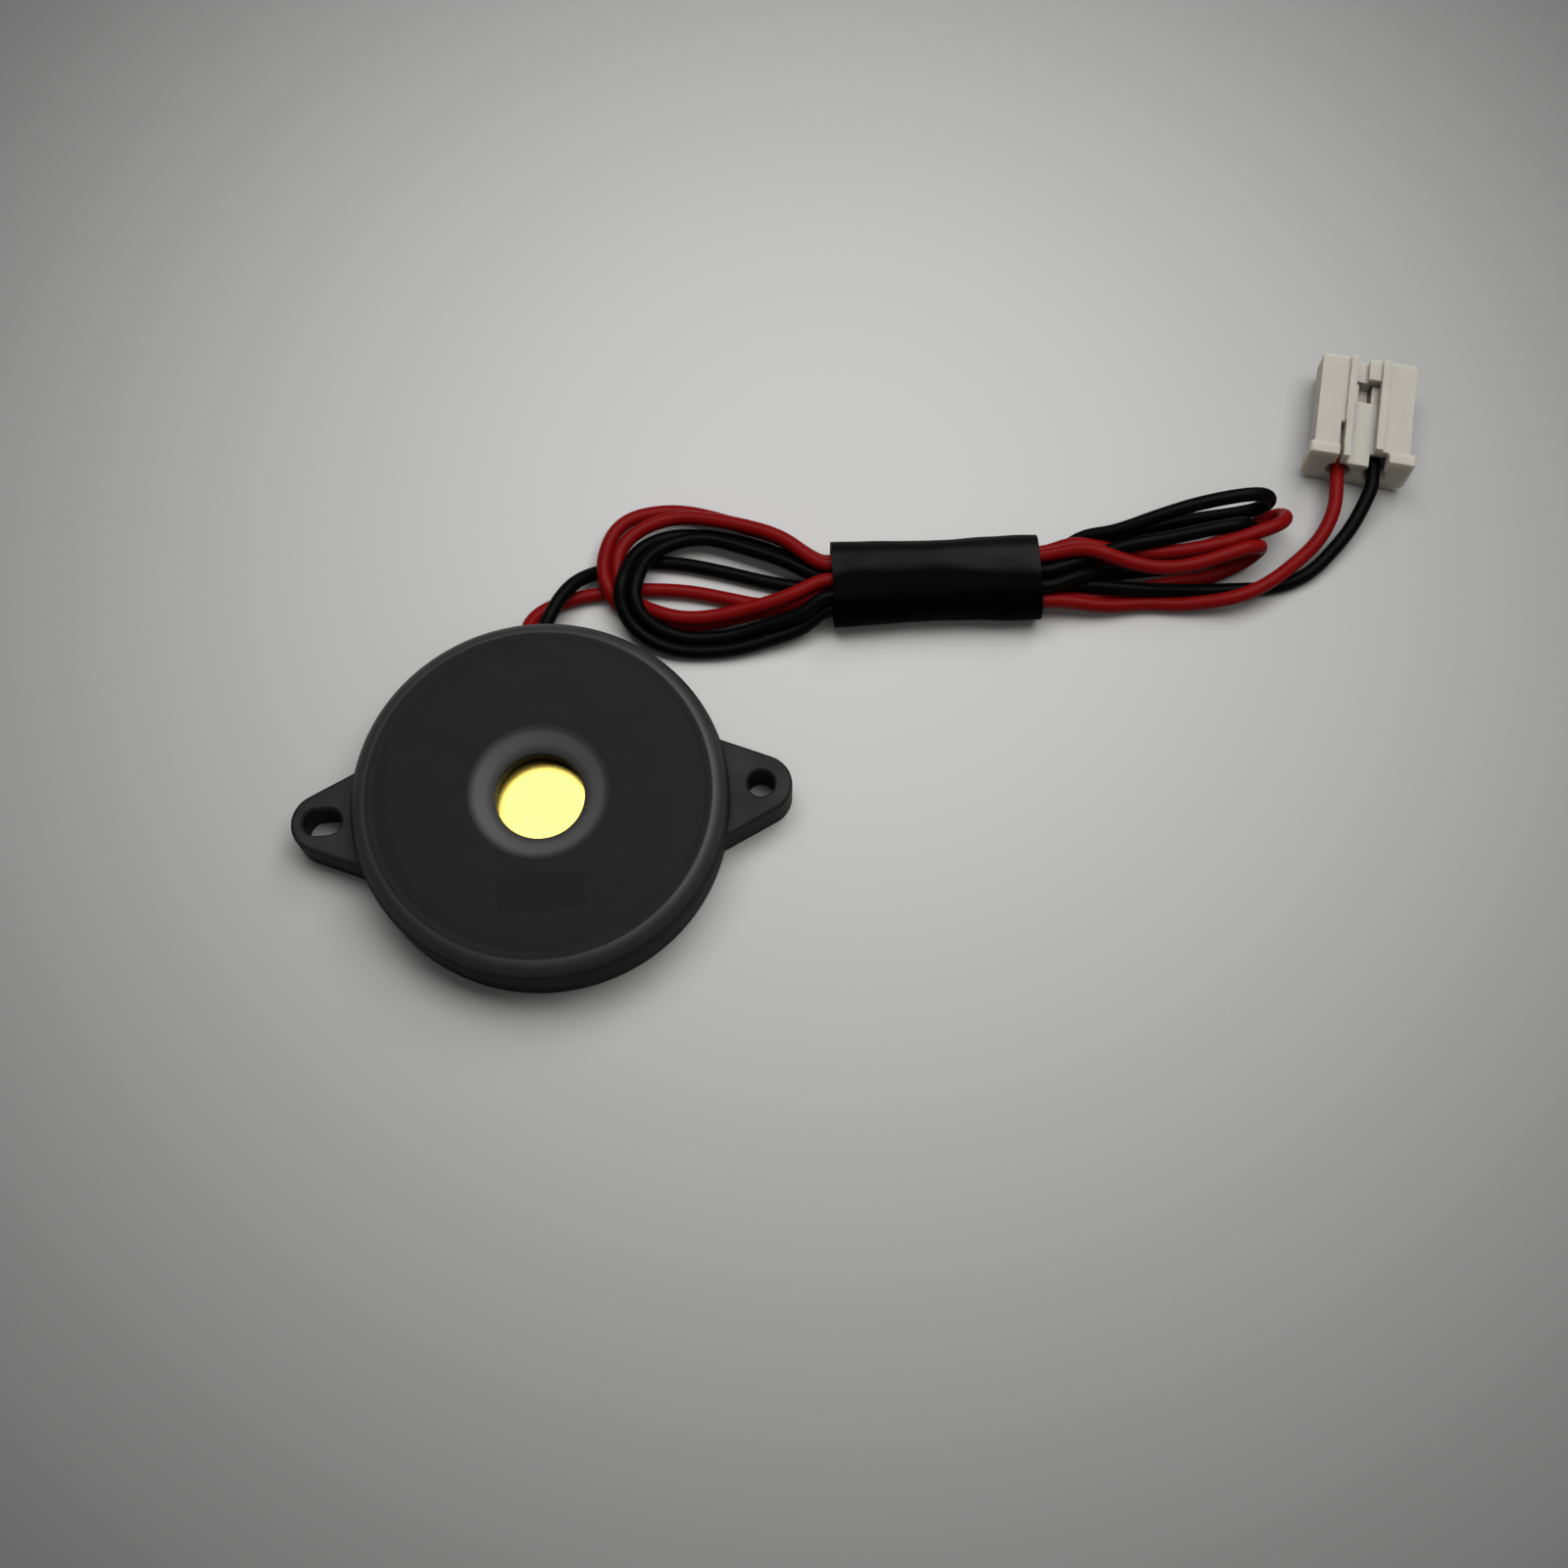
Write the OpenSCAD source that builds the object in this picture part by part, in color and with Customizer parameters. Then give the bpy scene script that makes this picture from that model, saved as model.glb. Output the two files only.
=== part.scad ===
// Piezo buzzer in a round two-part case with two mounting ears, on a short two-wire
// lead that is folded into a hank, held by a sleeve and ended in a two-way crimp housing.
// Frame: origin at the centre of the case on its rear face, +Z out of the sound port,
// +X along the ears towards the round hole, +Y towards the lead exit. Millimetres.

/* [Case] */
// Outer diameter of the front case
case_d = 25; // [23:0.5:30]
// Height of the whole case, from rear face to front face
case_h = 5; // [4.8:0.1:8]
// Radius of the rounded edge around the front face
edge_r = 1.35; // [0.4:0.05:1.7]
// Thickness of the front face
face_t = 1.2; // [1:0.1:1.4]
// Thickness of the side walls
wall_t = 1; // [0.8:0.05:1.3]
// How far the front case stands out past the rear case, all round
front_lip = 0.15; // [0:0.05:0.3]

/* [Rear case] */
// Height of the rear case's rim
rear_h = 2.8; // [2.7:0.05:3]
// Thickness of the rear floor
floor_t = 1; // [0.8:0.05:1.05]
// Height of the shadow gap between the two cases
seam_h = 0.15; // [0.05:0.05:0.3]
// Depth of the shadow gap between the two cases
seam_depth = 0.4; // [0.2:0.05:0.5]
// Rounding of the rim's outer edge
rim_r = 0.25; // [0.1:0.05:0.4]
// Chamfer around the rear face
foot_chamfer = 0.2; // [0.1:0.05:0.4]
// Clearance between the front case's spigot and the rear wall
spigot_clearance = 0.05; // [0.02:0.01:0.1]
// Thickness of the front case's spigot
spigot_t = 0.7; // [0.5:0.05:0.8]
// How far the spigot reaches down inside the rear wall
spigot_depth = 0.6; // [0.3:0.05:0.65]

/* [Ears] */
// Distance from the edge of the case to an ear's hole
ear_reach = 2.1; // [1.6:0.1:5]
// Radius of an ear's rounded end
ear_end_r = 2.1; // [1.6:0.05:2.6]
// Angle between an ear's sides and the line through both holes
ear_taper = 25; // [10:1:32]
// Thickness of the ears
ear_t = 2.8; // [1.6:0.05:2.8]
// Rounding of the ears' top edge
ear_edge_r = 0.3; // [0.1:0.05:0.5]
// Diameter of the round hole and width of the slotted one
hole_d = 1.8; // [1.4:0.1:2.2]
// Length of the slotted hole from end to end
slot_l = 2.6; // [2.3:0.1:3]
// Chamfer at the mouth of both holes
hole_chamfer = 0.15; // [0.05:0.05:0.3]

/* [Sound port] */
// Diameter of the sound port
port_d = 5.9; // [4.4:0.1:7]
// Outer diameter of the dish around the port
dish_d = 9.1; // [8:0.1:11]
// Length of the port's straight wall
port_land = 0.9; // [0.3:0.05:0.95]
// Rounding where the dish meets the front face
dish_r = 0.6; // [0.2:0.05:0.8]
// Air gap between the diaphragm and the port's collar
air_gap = 0.5; // [0.3:0.05:0.6]
// Wall of the collar behind the dish
collar_t = 0.8; // [0.6:0.05:1.2]

/* [Sounder] */
// Room between the brass diaphragm and the front case's spigot
brass_side_gap = 0.6; // [0.5:0.05:1]
// Thickness of the brass diaphragm
brass_t = 0.2; // [0.1:0.05:0.3]
// Width of the brass left bare around the ceramic disc
bare_brass_w = 3; // [2.9:0.1:4]
// Thickness of the ceramic disc
ceramic_t = 0.2; // [0.15:0.05:0.25]
// Width of the ceramic left bare around the silver electrode
bare_ceramic_w = 0.5; // [0.2:0.1:1]
// Thickness of the silver electrode
silver_t = 0.05; // [0.03:0.01:0.08]
// Thickness of the bonding ring under the diaphragm
bond_t = 0.1; // [0.05:0.05:0.2]
// Height of the diaphragm's seat above the rear floor
seat_h = 1.4; // [1.3:0.05:1.45]
// Width of the seat ring
seat_w = 1.2; // [1:0.1:1.3]
// Radius of a solder joint
solder_r = 0.75; // [0.6:0.05:0.85]
// Height of a solder joint
solder_h = 0.55; // [0.45:0.05:0.6]

/* [Leads] */
// Diameter over a lead's insulation
wire_d = 1; // [0.8:0.05:1]
// Diameter of a lead's stranded conductor
core_d = 0.5; // [0.3:0.05:0.6]
// Distance between the two leads where they leave the case
lead_pitch = 1.2; // [1.1:0.05:1.4]
// Height of the leads' axis above the rear face where they leave
lead_z = 1.55; // [1.5:0.05:1.6]
// Plastic left beside a lead in the exit notch
seal_margin = 0.25; // [0.15:0.05:0.4]

/* [Sleeve and hank] */
// Width of the wire bundle inside the sleeve
bundle_w = 5.4; // [5:0.1:5.5]
// Height of the wire bundle inside the sleeve
bundle_h = 2.7; // [2.2:0.1:3.2]
// Wall of the sleeve
sleeve_t = 0.35; // [0.2:0.05:0.5]
// Length of the sleeve
sleeve_l = 14.4; // [10:0.2:18]
// Radius of the hank's loop at the case end
near_loop_r = 5.3; // [4.5:0.1:5.6]
// Radius of the hank's loop at the connector end
far_loop_r = 2.8; // [2.2:0.1:3]
// Height of the near loop
near_loop_h = 3.2; // [2.4:0.1:4]
// Height of the far loop
far_loop_h = 4.2; // [3:0.1:4.6]

/* [Connector] */
// Distance between the two contacts
contact_pitch = 2.5; // [2.4:0.05:2.6]
// Width of the housing's body
housing_w = 6.7; // [6.5:0.1:8]
// Height of the housing's body
housing_h = 3.5; // [3.4:0.05:4]
// Length of the housing
housing_l = 8.4; // [7.8:0.1:10]
// How far the flange stands out past the body on each side
flange_lip = 0.35; // [0.2:0.05:0.6]
// Thickness of the flange at the wire end
flange_t = 0.8; // [0.6:0.1:1.2]
// Width of the channel along the top of the housing
channel_w = 1.8; // [1.4:0.1:2]
// Depth of the channel
channel_depth = 0.85; // [0.5:0.05:0.9]
// Width and height of a contact cavity
cavity_w = 1.8; // [1.7:0.05:1.85]
// Width and height of a contact's box
contact_w = 1.6; // [1.4:0.05:1.6]
// Diameter of a contact's crimp barrel
crimp_d = 1.3; // [1.1:0.05:1.5]
// Rounding of the housing's upper long edges
housing_r = 0.25; // [0.1:0.05:0.4]
// Rounding of the housing's lower long edges
keel_r = 1.2; // [0.6:0.1:1.4]

/* [Hidden] */
$fn = 96;
eps = 0.01;
case_r = case_d / 2;
rear_r = case_r - front_lip;
bore_r = case_r - front_lip - wall_t;
spigot_r = bore_r - spigot_clearance;
cap_z = rear_h + seam_h;
port_r = port_d / 2;
dish_r_out = dish_d / 2;
front_edge_r = min(edge_r, case_h - cap_z - 0.2);

// Heights of the sounder's layers, from the seat up and down
seat_z = floor_t + seat_h;
brass_z = seat_z + bond_t;
brass_top = brass_z + brass_t;
ceramic_z = brass_z - ceramic_t;
silver_z = ceramic_z - silver_t;
collar_z = brass_top + air_gap;
port_rim_z = collar_z + port_land;
brass_r = spigot_r - spigot_t - brass_side_gap;
ceramic_r = brass_r - bare_brass_w;
silver_r = ceramic_r - bare_ceramic_w;
seat_side_gap = 0.4;
seat_r = brass_r + seat_side_gap;
bond_margin = 0.15;

// Ears
hole_x = case_r + ear_reach;
ear_top_r = min(ear_edge_r, ear_t / 4);

// Leads inside the case: where the insulation ends and where each is soldered
lead_x = lead_pitch / 2;
notch_w = lead_pitch + wire_d + 2 * seal_margin;
seal_inset = 0.1;
seal_t = wall_t - 2 * seal_inset;
black_end_y = seat_r - seat_w;
red_end_y = black_end_y - 1.2;
red_solder_at = [-2.2, silver_r - 1.9];
black_solder_at = [1.5, brass_r - 2.1];
core_gap = 0.05;

// Loom: every point outside the case is measured from the lead exit, on the rear case's wall
exit_y = rear_r;
sleeve_w = bundle_w + 2 * sleeve_t;
sleeve_h = bundle_h + 2 * sleeve_t;
hank_at = [28.1, 1.9, 0];
hank_turn = -2.8;
near_loop_at = [-18, 1.3];
far_loop_at = [22, 2.6];
// Lower edge of the far loop's strands where they leave the sleeve, with the tails beside it
far_root_y = 0.9;
// Tails leave the sleeve here: distance from the hank's axis, and height
red_tail_from = [-1.6, 1.1];
black_tail_from = [-0.1, 1.1];
// How far the hank's outer strands lie inside the bundle's sides
root_inset = 0.4;
// Straight stretch of a lead before it meets the near loop
lead_in = 0.5;

// Connector place: middle of its wire end, and its turn about Z
housing_at = [59, 7.6, 0];
housing_turn = -16;
flange_h = housing_h + flange_lip;
housing_top = flange_lip / 2 + housing_h;
// Plastic under a contact's cavity
cavity_floor = 0.65;
contact_z = flange_lip / 2 + cavity_floor + cavity_w / 2;
contact_from = 1.2;
barrel_l = 1.8;
contact_inset = 0.6;
contact_l = housing_l - contact_from - contact_inset;
contact_wall = 0.25;
contact_back = 0.4;
// Ribs beside the channel, and the channel's stop block, window and slit
rib_w = 0.5;
rib_h = 0.3;
stop_l = 1.6;
stop_drop = 0.3;
window_l = 1.7;
slit_w = 0.3;
slit_l = 3;
slit_side = 0.4;
// Opening above the black tail in the flange
mouth_slot_w = 1.2;
mouth_slot_l = 1;

// Lead routes outside the case, from the exit (x, y from the wall, z)
red_route = [[-0.6, 1, 1.5], [-0.3, 1.8, 1.2], [0.5, 2.6, 0.8], [1.8, 3.2, 0.6], [3.2, 3.6, 0.6],
    [4.2, 3.9, 0.6]];
black_route = [[0.6, 0.9, 1.8], [1.2, 1.7, 2.1], [1.9, 2.9, 2.1], [3, 4.2, 1.9], [4.1, 5.1, 1.6]];
// Tail routes from the sleeve to the connector, in the same frame
red_tail_route = [[37.6, -0.3, 0.9], [40, -0.7, 0.6], [43, -1, 0.5], [46, -1.3, 0.7], [48.6, -1, 1.6],
    [51, -0.1, 1.7], [53.2, 1.2, 1.4], [55, 2.6, 1.4], [56.3, 4.2, 1.6], [57, 5.6, 1.7]];
black_tail_route = [[37.6, 1.1, 1], [40, 0.6, 0.8], [43, 0.3, 0.6], [46, 0, 0.5], [49, -0.1, 0.5],
    [52, -0.1, 0.5], [54.6, 0.8, 0.5], [56.8, 2, 0.8], [58.4, 3.4, 1.2], [59.3, 4.8, 1.6]];

// ---- Shared shapes and functions ----

// A square ring profile for rotate_extrude, from radius r0 to r1 and height z0 to z1
module band(r0, r1, z0, z1) {
    translate([r0, z0]) square([r1 - r0, z1 - z0]);
}

// Half of a turned solid's section, with the top outer corner rounded
module rounded_band(r1, z0, z1, corner_r) {
    band(0, r1 - corner_r, z0, z1);
    band(0, r1, z0, z1 - corner_r);
    translate([r1 - corner_r, z1 - corner_r]) intersection() {
        circle(corner_r);
        square(corner_r);
    }
}

// Rectangle with round corners, centred in X and standing on Y = 0
module rounded_rect(w, h, r) {
    translate([-w / 2, r]) square([w, h - 2 * r]);
    translate([r - w / 2, 0]) square([w - 2 * r, h]);
    for (x = [r - w / 2, w / 2 - r], y = [r, h - r]) translate([x, y]) circle(r, $fn = 32);
}

// Flattened tube outline: a slab with two round sides, centred in X and standing on Y = 0
module flat_oval(w, h) {
    translate([h / 2 - w / 2, 0]) square([w - h, h]);
    for (side = [-1, 1]) translate([side * (w - h) / 2, h / 2]) circle(h / 2);
}

// Round rod between two points
module rod(from, to, d) {
    reach = to - from;
    translate(from) rotate([0, acos(reach.z / norm(reach)), atan2(reach.y, reach.x)])
        cylinder(d = d, h = norm(reach), $fn = 24);
}

function unit(v) = v / norm(v);

function heading(path, i) = unit(path[min(i + 1, len(path) - 1)] - path[max(i - 1, 0)]);

function ring(centre, along, r, sides) =
    let (across = unit(cross(along, [0, 0, 1])), upward = cross(across, along))
    [for (k = [0:sides - 1]) let (a = 360 * (k + 0.5) / sides)
        centre + r * (cos(a) * across + sin(a) * upward)];

// Eight-sided tube along a route, with flat ends across it
module wire(route, d) {
    sides = 8;
    rings = len(route);
    points = [for (i = [0:rings - 1]) each ring(route[i], heading(route, i), d / 2, sides)];
    faces = concat(
        [[for (k = [0:sides - 1]) k]],
        [for (i = [0:rings - 2], k = [0:sides - 1]) let (n = (k + 1) % sides)
            [i * sides + k, (i + 1) * sides + k, (i + 1) * sides + n, i * sides + n]],
        [[for (k = [sides - 1:-1:0]) (rings - 1) * sides + k]]);
    polyhedron(points, faces, convexity = 6);
}

// From the loom's frame to the part's frame, and from the hank's and the connector's to the loom's
function from_exit(p) = [p.x, p.y + exit_y, p.z];
function turned(p, at, turn) =
    [at.x + p.x * cos(turn) - p.y * sin(turn), at.y + p.x * sin(turn) + p.y * cos(turn), p.z];
function from_hank(p) = turned(p, hank_at, hank_turn);
function from_housing(p) = turned(p, housing_at, housing_turn);

module at_exit() { translate([0, exit_y, 0]) children(); }
module at_hank() { at_exit() translate(hank_at) rotate([0, 0, hank_turn]) children(); }
module at_housing() { at_exit() translate(housing_at) rotate([0, 0, housing_turn]) children(); }

// ---- Case ----

// One ear towards +X, its side and end edges rounded along the top
module ear() {
    side = [sin(ear_taper), cos(ear_taper)];
    along = [cos(ear_taper), -sin(ear_taper)];
    // Length of a side, from its tangent point back to well inside the wall
    side_l = ear_reach + wall_t + ear_end_r * side.x + 0.6;
    translate([hole_x, 0, 0]) rotate_extrude() rounded_band(ear_end_r, 0, ear_t, ear_top_r);
    linear_extrude(ear_t) polygon([
        for (s = [-1, 1], back = s < 0 ? [side_l, 0] : [0, side_l])
            [hole_x + (ear_end_r - ear_top_r) * side.x - back * along.x,
             s * ((ear_end_r - ear_top_r) * side.y - back * along.y)]]);
    for (s = [0, 1]) mirror([0, s, 0])
        translate([hole_x, 0, 0]) rotate([0, 0, -ear_taper])
        translate([-side_l, 0, 0]) rotate([90, 0, 90]) linear_extrude(side_l) {
            translate([ear_end_r - 2 * ear_top_r, 0]) square([ear_top_r, ear_t]);
            translate([ear_end_r - 2 * ear_top_r, 0]) square([2 * ear_top_r, ear_t - ear_top_r]);
            translate([ear_end_r - ear_top_r, ear_t - ear_top_r]) circle(ear_top_r);
        }
}

module round_hole() {
    translate([hole_x, 0, -eps]) cylinder(d = hole_d, h = ear_t + 2 * eps);
    translate([hole_x, 0, ear_t - hole_chamfer])
        cylinder(d1 = hole_d, d2 = hole_d + 2 * hole_chamfer + 2 * eps, h = hole_chamfer + eps);
}

module slotted_hole() {
    half = (slot_l - hole_d) / 2;
    for (end = [-half, half]) translate([end - hole_x, 0, 0]) {
        translate([0, 0, -eps]) cylinder(d = hole_d, h = ear_t + 2 * eps);
        translate([0, 0, ear_t - hole_chamfer])
            cylinder(d1 = hole_d, d2 = hole_d + 2 * hole_chamfer + 2 * eps, h = hole_chamfer + eps);
    }
    mouth = hole_d / 2 + hole_chamfer + eps;
    translate([-hole_x - half, 0, 0]) rotate([90, 0, 90]) linear_extrude(2 * half) polygon([
        [-hole_d / 2, -eps], [hole_d / 2, -eps], [hole_d / 2, ear_t - hole_chamfer],
        [mouth, ear_t + eps], [-mouth, ear_t + eps], [-hole_d / 2, ear_t - hole_chamfer]]);
}

// Notch in the wall and seat that lets both leads out, open at the top
module lead_notch() {
    from_y = seat_r - seat_w - 1;
    translate([-notch_w / 2, from_y, floor_t]) cube([notch_w, case_r + 1 - from_y, case_h]);
}

module rear_case() {
    color([0.14, 0.14, 0.14]) difference() {
        union() {
            difference() {
                union() {
                    rotate_extrude() difference() {
                        union() {
                            rounded_band(rear_r, 0, rear_h, rim_r);
                            band(0, rear_r - seam_depth, 0, cap_z);
                        }
                        polygon([[rear_r - foot_chamfer, -eps], [rear_r + eps, -eps],
                            [rear_r + eps, foot_chamfer]]);
                    }
                    ear();
                    mirror([1, 0, 0]) ear();
                }
                translate([0, 0, floor_t]) cylinder(r = bore_r, h = case_h);
            }
            rotate_extrude() band(seat_r - seat_w, seat_r, floor_t - eps, seat_z);
        }
        round_hole();
        slotted_hole();
        lead_notch();
    }
}

// Material above the dish's slope, ending in a rounded edge at the front face
module dish_section() {
    run = dish_r_out - port_r;
    drop = case_h - port_rim_z;
    slope = atan2(drop, run);
    soft = min(dish_r, run / 3, drop / 3);
    // Distance from the dish's sharp edge to where the rounding starts, both ways
    cut = soft * tan(slope / 2);
    polygon([[0, port_rim_z], [port_r, port_rim_z],
        [dish_r_out - cut * cos(slope), case_h - cut * sin(slope)], [dish_r_out + cut, case_h],
        [dish_r_out + cut, case_h + 1], [0, case_h + 1]]);
}

module dish_rounding() {
    run = dish_r_out - port_r;
    drop = case_h - port_rim_z;
    slope = atan2(drop, run);
    soft = min(dish_r, run / 3, drop / 3);
    translate([dish_r_out + soft * tan(slope / 2), case_h - soft]) circle(soft);
}

module front_case() {
    color([0.15, 0.15, 0.15]) rotate_extrude() {
        difference() {
            rounded_band(case_r, cap_z, case_h, front_edge_r);
            band(-eps, spigot_r - spigot_t, cap_z - eps, case_h - face_t);
            dish_section();
            band(-eps, port_r, 0, case_h);
        }
        difference() {
            band(port_r, dish_r_out + collar_t, collar_z, case_h - face_t + eps);
            dish_section();
        }
        dish_rounding();
        band(spigot_r - spigot_t, spigot_r, rear_h - spigot_depth, cap_z + eps);
    }
}

// ---- Sounder ----

module disc(r, z, t) { translate([0, 0, z]) cylinder(r = r, h = t); }

module brass_diaphragm() { color([0.85, 0.68, 0.3]) disc(brass_r, brass_z, brass_t); }

module piezo_ceramic() { color([0.9, 0.88, 0.8]) disc(ceramic_r, ceramic_z, ceramic_t); }

module silver_electrode() { color([0.8, 0.8, 0.82]) disc(silver_r, silver_z, silver_t); }

module bonding_ring() {
    color([0.85, 0.86, 0.86]) difference() {
        rotate_extrude()
            band(seat_r - seat_w + bond_margin, brass_r - bond_margin, seat_z, brass_z);
        lead_notch();
    }
}

red_core_from = [-lead_x, red_end_y, lead_z];
red_core_to = [red_solder_at.x, red_solder_at.y, silver_z - core_d / 2 - core_gap];
black_core_from = [lead_x, black_end_y, lead_z];
black_core_to = [black_solder_at.x, black_solder_at.y, brass_z - core_d / 2 - core_gap];

// Stripped conductor from the flat end of its lead to the middle of its solder joint
module core(from, to) {
    inside = from - unit(to - from) * core_d;
    color([0.75, 0.72, 0.68]) difference() {
        rod(inside, to, core_d);
        translate([from.x - core_d, from.y, from.z - core_d]) cube(2 * core_d);
    }
}

module red_core() { core(red_core_from, red_core_to); }

module black_core() { core(black_core_from, black_core_to); }

// Solder dome that hangs under the face at height z
module solder_dome(at, z) {
    dome_r = (solder_r * solder_r + solder_h * solder_h) / (2 * solder_h);
    difference() {
        translate([at.x, at.y, z - solder_h + dome_r]) sphere(dome_r);
        translate([at.x - 2 * dome_r, at.y - 2 * dome_r, z]) cube(4 * dome_r);
    }
}

module red_solder_joint() {
    color([0.72, 0.73, 0.75]) difference() {
        solder_dome(red_solder_at, silver_z);
        red_core();
    }
}

module black_solder_joint() {
    color([0.72, 0.73, 0.75]) difference() {
        solder_dome(black_solder_at, brass_z);
        black_core();
    }
}

// Sealant that closes the notch around both leads
module lead_seal() {
    color([0.1, 0.1, 0.1]) difference() {
        intersection() {
            translate([-notch_w / 2, 0, floor_t]) cube([notch_w, case_r, rear_h - floor_t]);
            rotate_extrude() band(bore_r + seal_inset, bore_r + seal_inset + seal_t, 0, rear_h);
        }
        for (x = [-lead_x, lead_x])
            translate([x, 0, lead_z]) rotate([-90, 0, 0]) cylinder(d = wire_d, h = case_r);
    }
}

// ---- Leads, hank and sleeve ----

// Straight stretch of a lead from its stripped end through the seal to the wall
function lead_start(x, end_y) = [for (y = [end_y, (end_y + exit_y) / 2, exit_y]) [x, y, lead_z]];

// Outer face of the near loop towards a direction given in degrees from the hank's axis
function near_loop_face(angle, z, out = 0) = let (r = near_loop_r + out)
    from_hank([near_loop_at.x + r * cos(angle), near_loop_at.y + r * sin(angle), z]);

function outside(points) = [for (p = points) from_exit(p)];

module red_lead() {
    color([0.62, 0.03, 0.05]) wire(concat(lead_start(-lead_x, red_end_y), outside(red_route),
        outside([near_loop_face(180, 0.6, lead_in), near_loop_face(180, 0.6)])), wire_d);
}

module black_lead() {
    color([0.06, 0.06, 0.06]) wire(concat(lead_start(lead_x, black_end_y), outside(black_route),
        outside([near_loop_face(163, 1.4, lead_in), near_loop_face(163, 1.4)])), wire_d);
}

// A loop's outline: its round end and the strands that draw in to the sleeve's end
module loop_outline(at, r, root_x, root_low, root_high) {
    translate(at) circle(r);
    // Tangent points, seen from the two ends of the root
    low_from = [root_x, root_low];
    high_from = [root_x, root_high];
    polygon([low_from, touch(at, r, low_from, sign(at.x)), at, touch(at, r, high_from, -sign(at.x)),
        high_from]);
}

// Where a line from point p touches the circle, on the side given by turn
function touch(centre, r, p, turn) =
    let (reach = centre - p, away = norm(reach), a = atan2(reach.y, reach.x), b = acos(r / away))
    centre - r * [cos(a + turn * b), sin(a + turn * b)];

// All the folded strands as one closed solid: near loop, bundle inside the sleeve, far loop
module wire_hank() {
    half = sleeve_l / 2;
    root_high = bundle_w / 2 - root_inset;
    color([0.3, 0.05, 0.06]) at_hank() {
        linear_extrude(near_loop_h)
            loop_outline(near_loop_at, near_loop_r, -half, -root_high, root_high);
        linear_extrude(far_loop_h)
            loop_outline(far_loop_at, far_loop_r, half, far_root_y, root_high);
        translate([-half, 0, sleeve_t]) rotate([90, 0, 90]) linear_extrude(sleeve_l)
            flat_oval(bundle_w, bundle_h);
    }
}

module hank_sleeve() {
    color([0.08, 0.08, 0.08]) at_hank() translate([-sleeve_l / 2, 0, 0])
        rotate([90, 0, 90]) linear_extrude(sleeve_l) difference() {
            flat_oval(sleeve_w, sleeve_h);
            translate([0, sleeve_t]) flat_oval(bundle_w, bundle_h);
        }
}

// First points of a tail, straight out of the sleeve's end
function tail_start(from) = outside([for (x = [0, 1])
    from_hank([sleeve_l / 2 + x, from[0], from[1]])]);

// Last points of a tail, straight into the housing up to the contact
function tail_end(x) = outside([for (y = [-1, 0, contact_from])
    from_housing([x, y, contact_z])]);

module red_tail() {
    color([0.62, 0.03, 0.05]) wire(concat(tail_start(red_tail_from), outside(red_tail_route),
        tail_end(-contact_pitch / 2)), wire_d);
}

module black_tail() {
    color([0.06, 0.06, 0.06]) wire(concat(tail_start(black_tail_from), outside(black_tail_route),
        tail_end(contact_pitch / 2)), wire_d);
}

// ---- Connector ----

// Outline across the housing, its lower corners well rounded
module housing_outline(w, h) {
    translate([-w / 2, keel_r]) square([w, h - keel_r - housing_r]);
    translate([keel_r - w / 2, 0]) square([w - 2 * keel_r, h / 2]);
    translate([housing_r - w / 2, keel_r]) square([w - 2 * housing_r, h - keel_r]);
    for (s = [-1, 1]) {
        translate([s * (w / 2 - keel_r), keel_r]) circle(keel_r, $fn = 32);
        translate([s * (w / 2 - housing_r), h - housing_r]) circle(housing_r, $fn = 32);
    }
}

// Cross-section of the housing's body, seen from the wire end
module housing_section() {
    difference() {
        translate([0, flange_lip / 2]) housing_outline(housing_w, housing_h);
        // Channel along the top
        translate([-channel_w / 2, housing_top - channel_depth]) square([channel_w, channel_depth + 1]);
        // Lowered shoulders outside the channel's ribs
        for (s = [-1, 1]) translate([s * (channel_w / 2 + rib_w + housing_w / 2), 0])
            translate([-housing_w / 2, housing_top - rib_h]) square([housing_w, 1]);
    }
}

module connector_housing() {
    color([0.86, 0.84, 0.78]) at_housing() difference() {
        union() {
            translate([0, housing_l, 0]) rotate([90, 0, 0]) linear_extrude(housing_l) housing_section();
            // Flange round the wire end, open where the channel leaves it
            translate([0, flange_t, 0]) rotate([90, 0, 0]) linear_extrude(flange_t) difference() {
                housing_outline(housing_w + 2 * flange_lip, flange_h);
                translate([-channel_w / 2, housing_top - channel_depth])
                    square([channel_w, channel_depth + 1]);
            }
            // Stop block in the channel at the mating end
            translate([0, housing_l - stop_l, housing_top - channel_depth - eps])
                cube([channel_w / 2 + eps, stop_l, channel_depth - stop_drop]);
        }
        for (s = [-1, 1]) translate([s * contact_pitch / 2, 0, contact_z]) {
            // Cavity for the contact, with a round mouth for the wire
            translate([-cavity_w / 2, contact_from - contact_wall, -cavity_w / 2])
                cube([cavity_w, housing_l, cavity_w]);
            translate([0, -1, 0]) rotate([-90, 0, 0]) cylinder(d = cavity_w, h = 3);
        }
        // Window over both contacts, behind the stop block
        translate([-channel_w / 2, housing_l - stop_l - window_l, contact_z])
            cube([channel_w, window_l, housing_h]);
        // Slit beside the channel, over the first contact
        translate([-contact_pitch / 2 - slit_side, -1, contact_z]) cube([slit_w, slit_l + 1, housing_h]);
        // Opening above the black tail's mouth
        translate([(contact_pitch - mouth_slot_w) / 2, -1, contact_z])
            cube([mouth_slot_w, mouth_slot_l + 1, housing_h]);
    }
}

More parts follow.
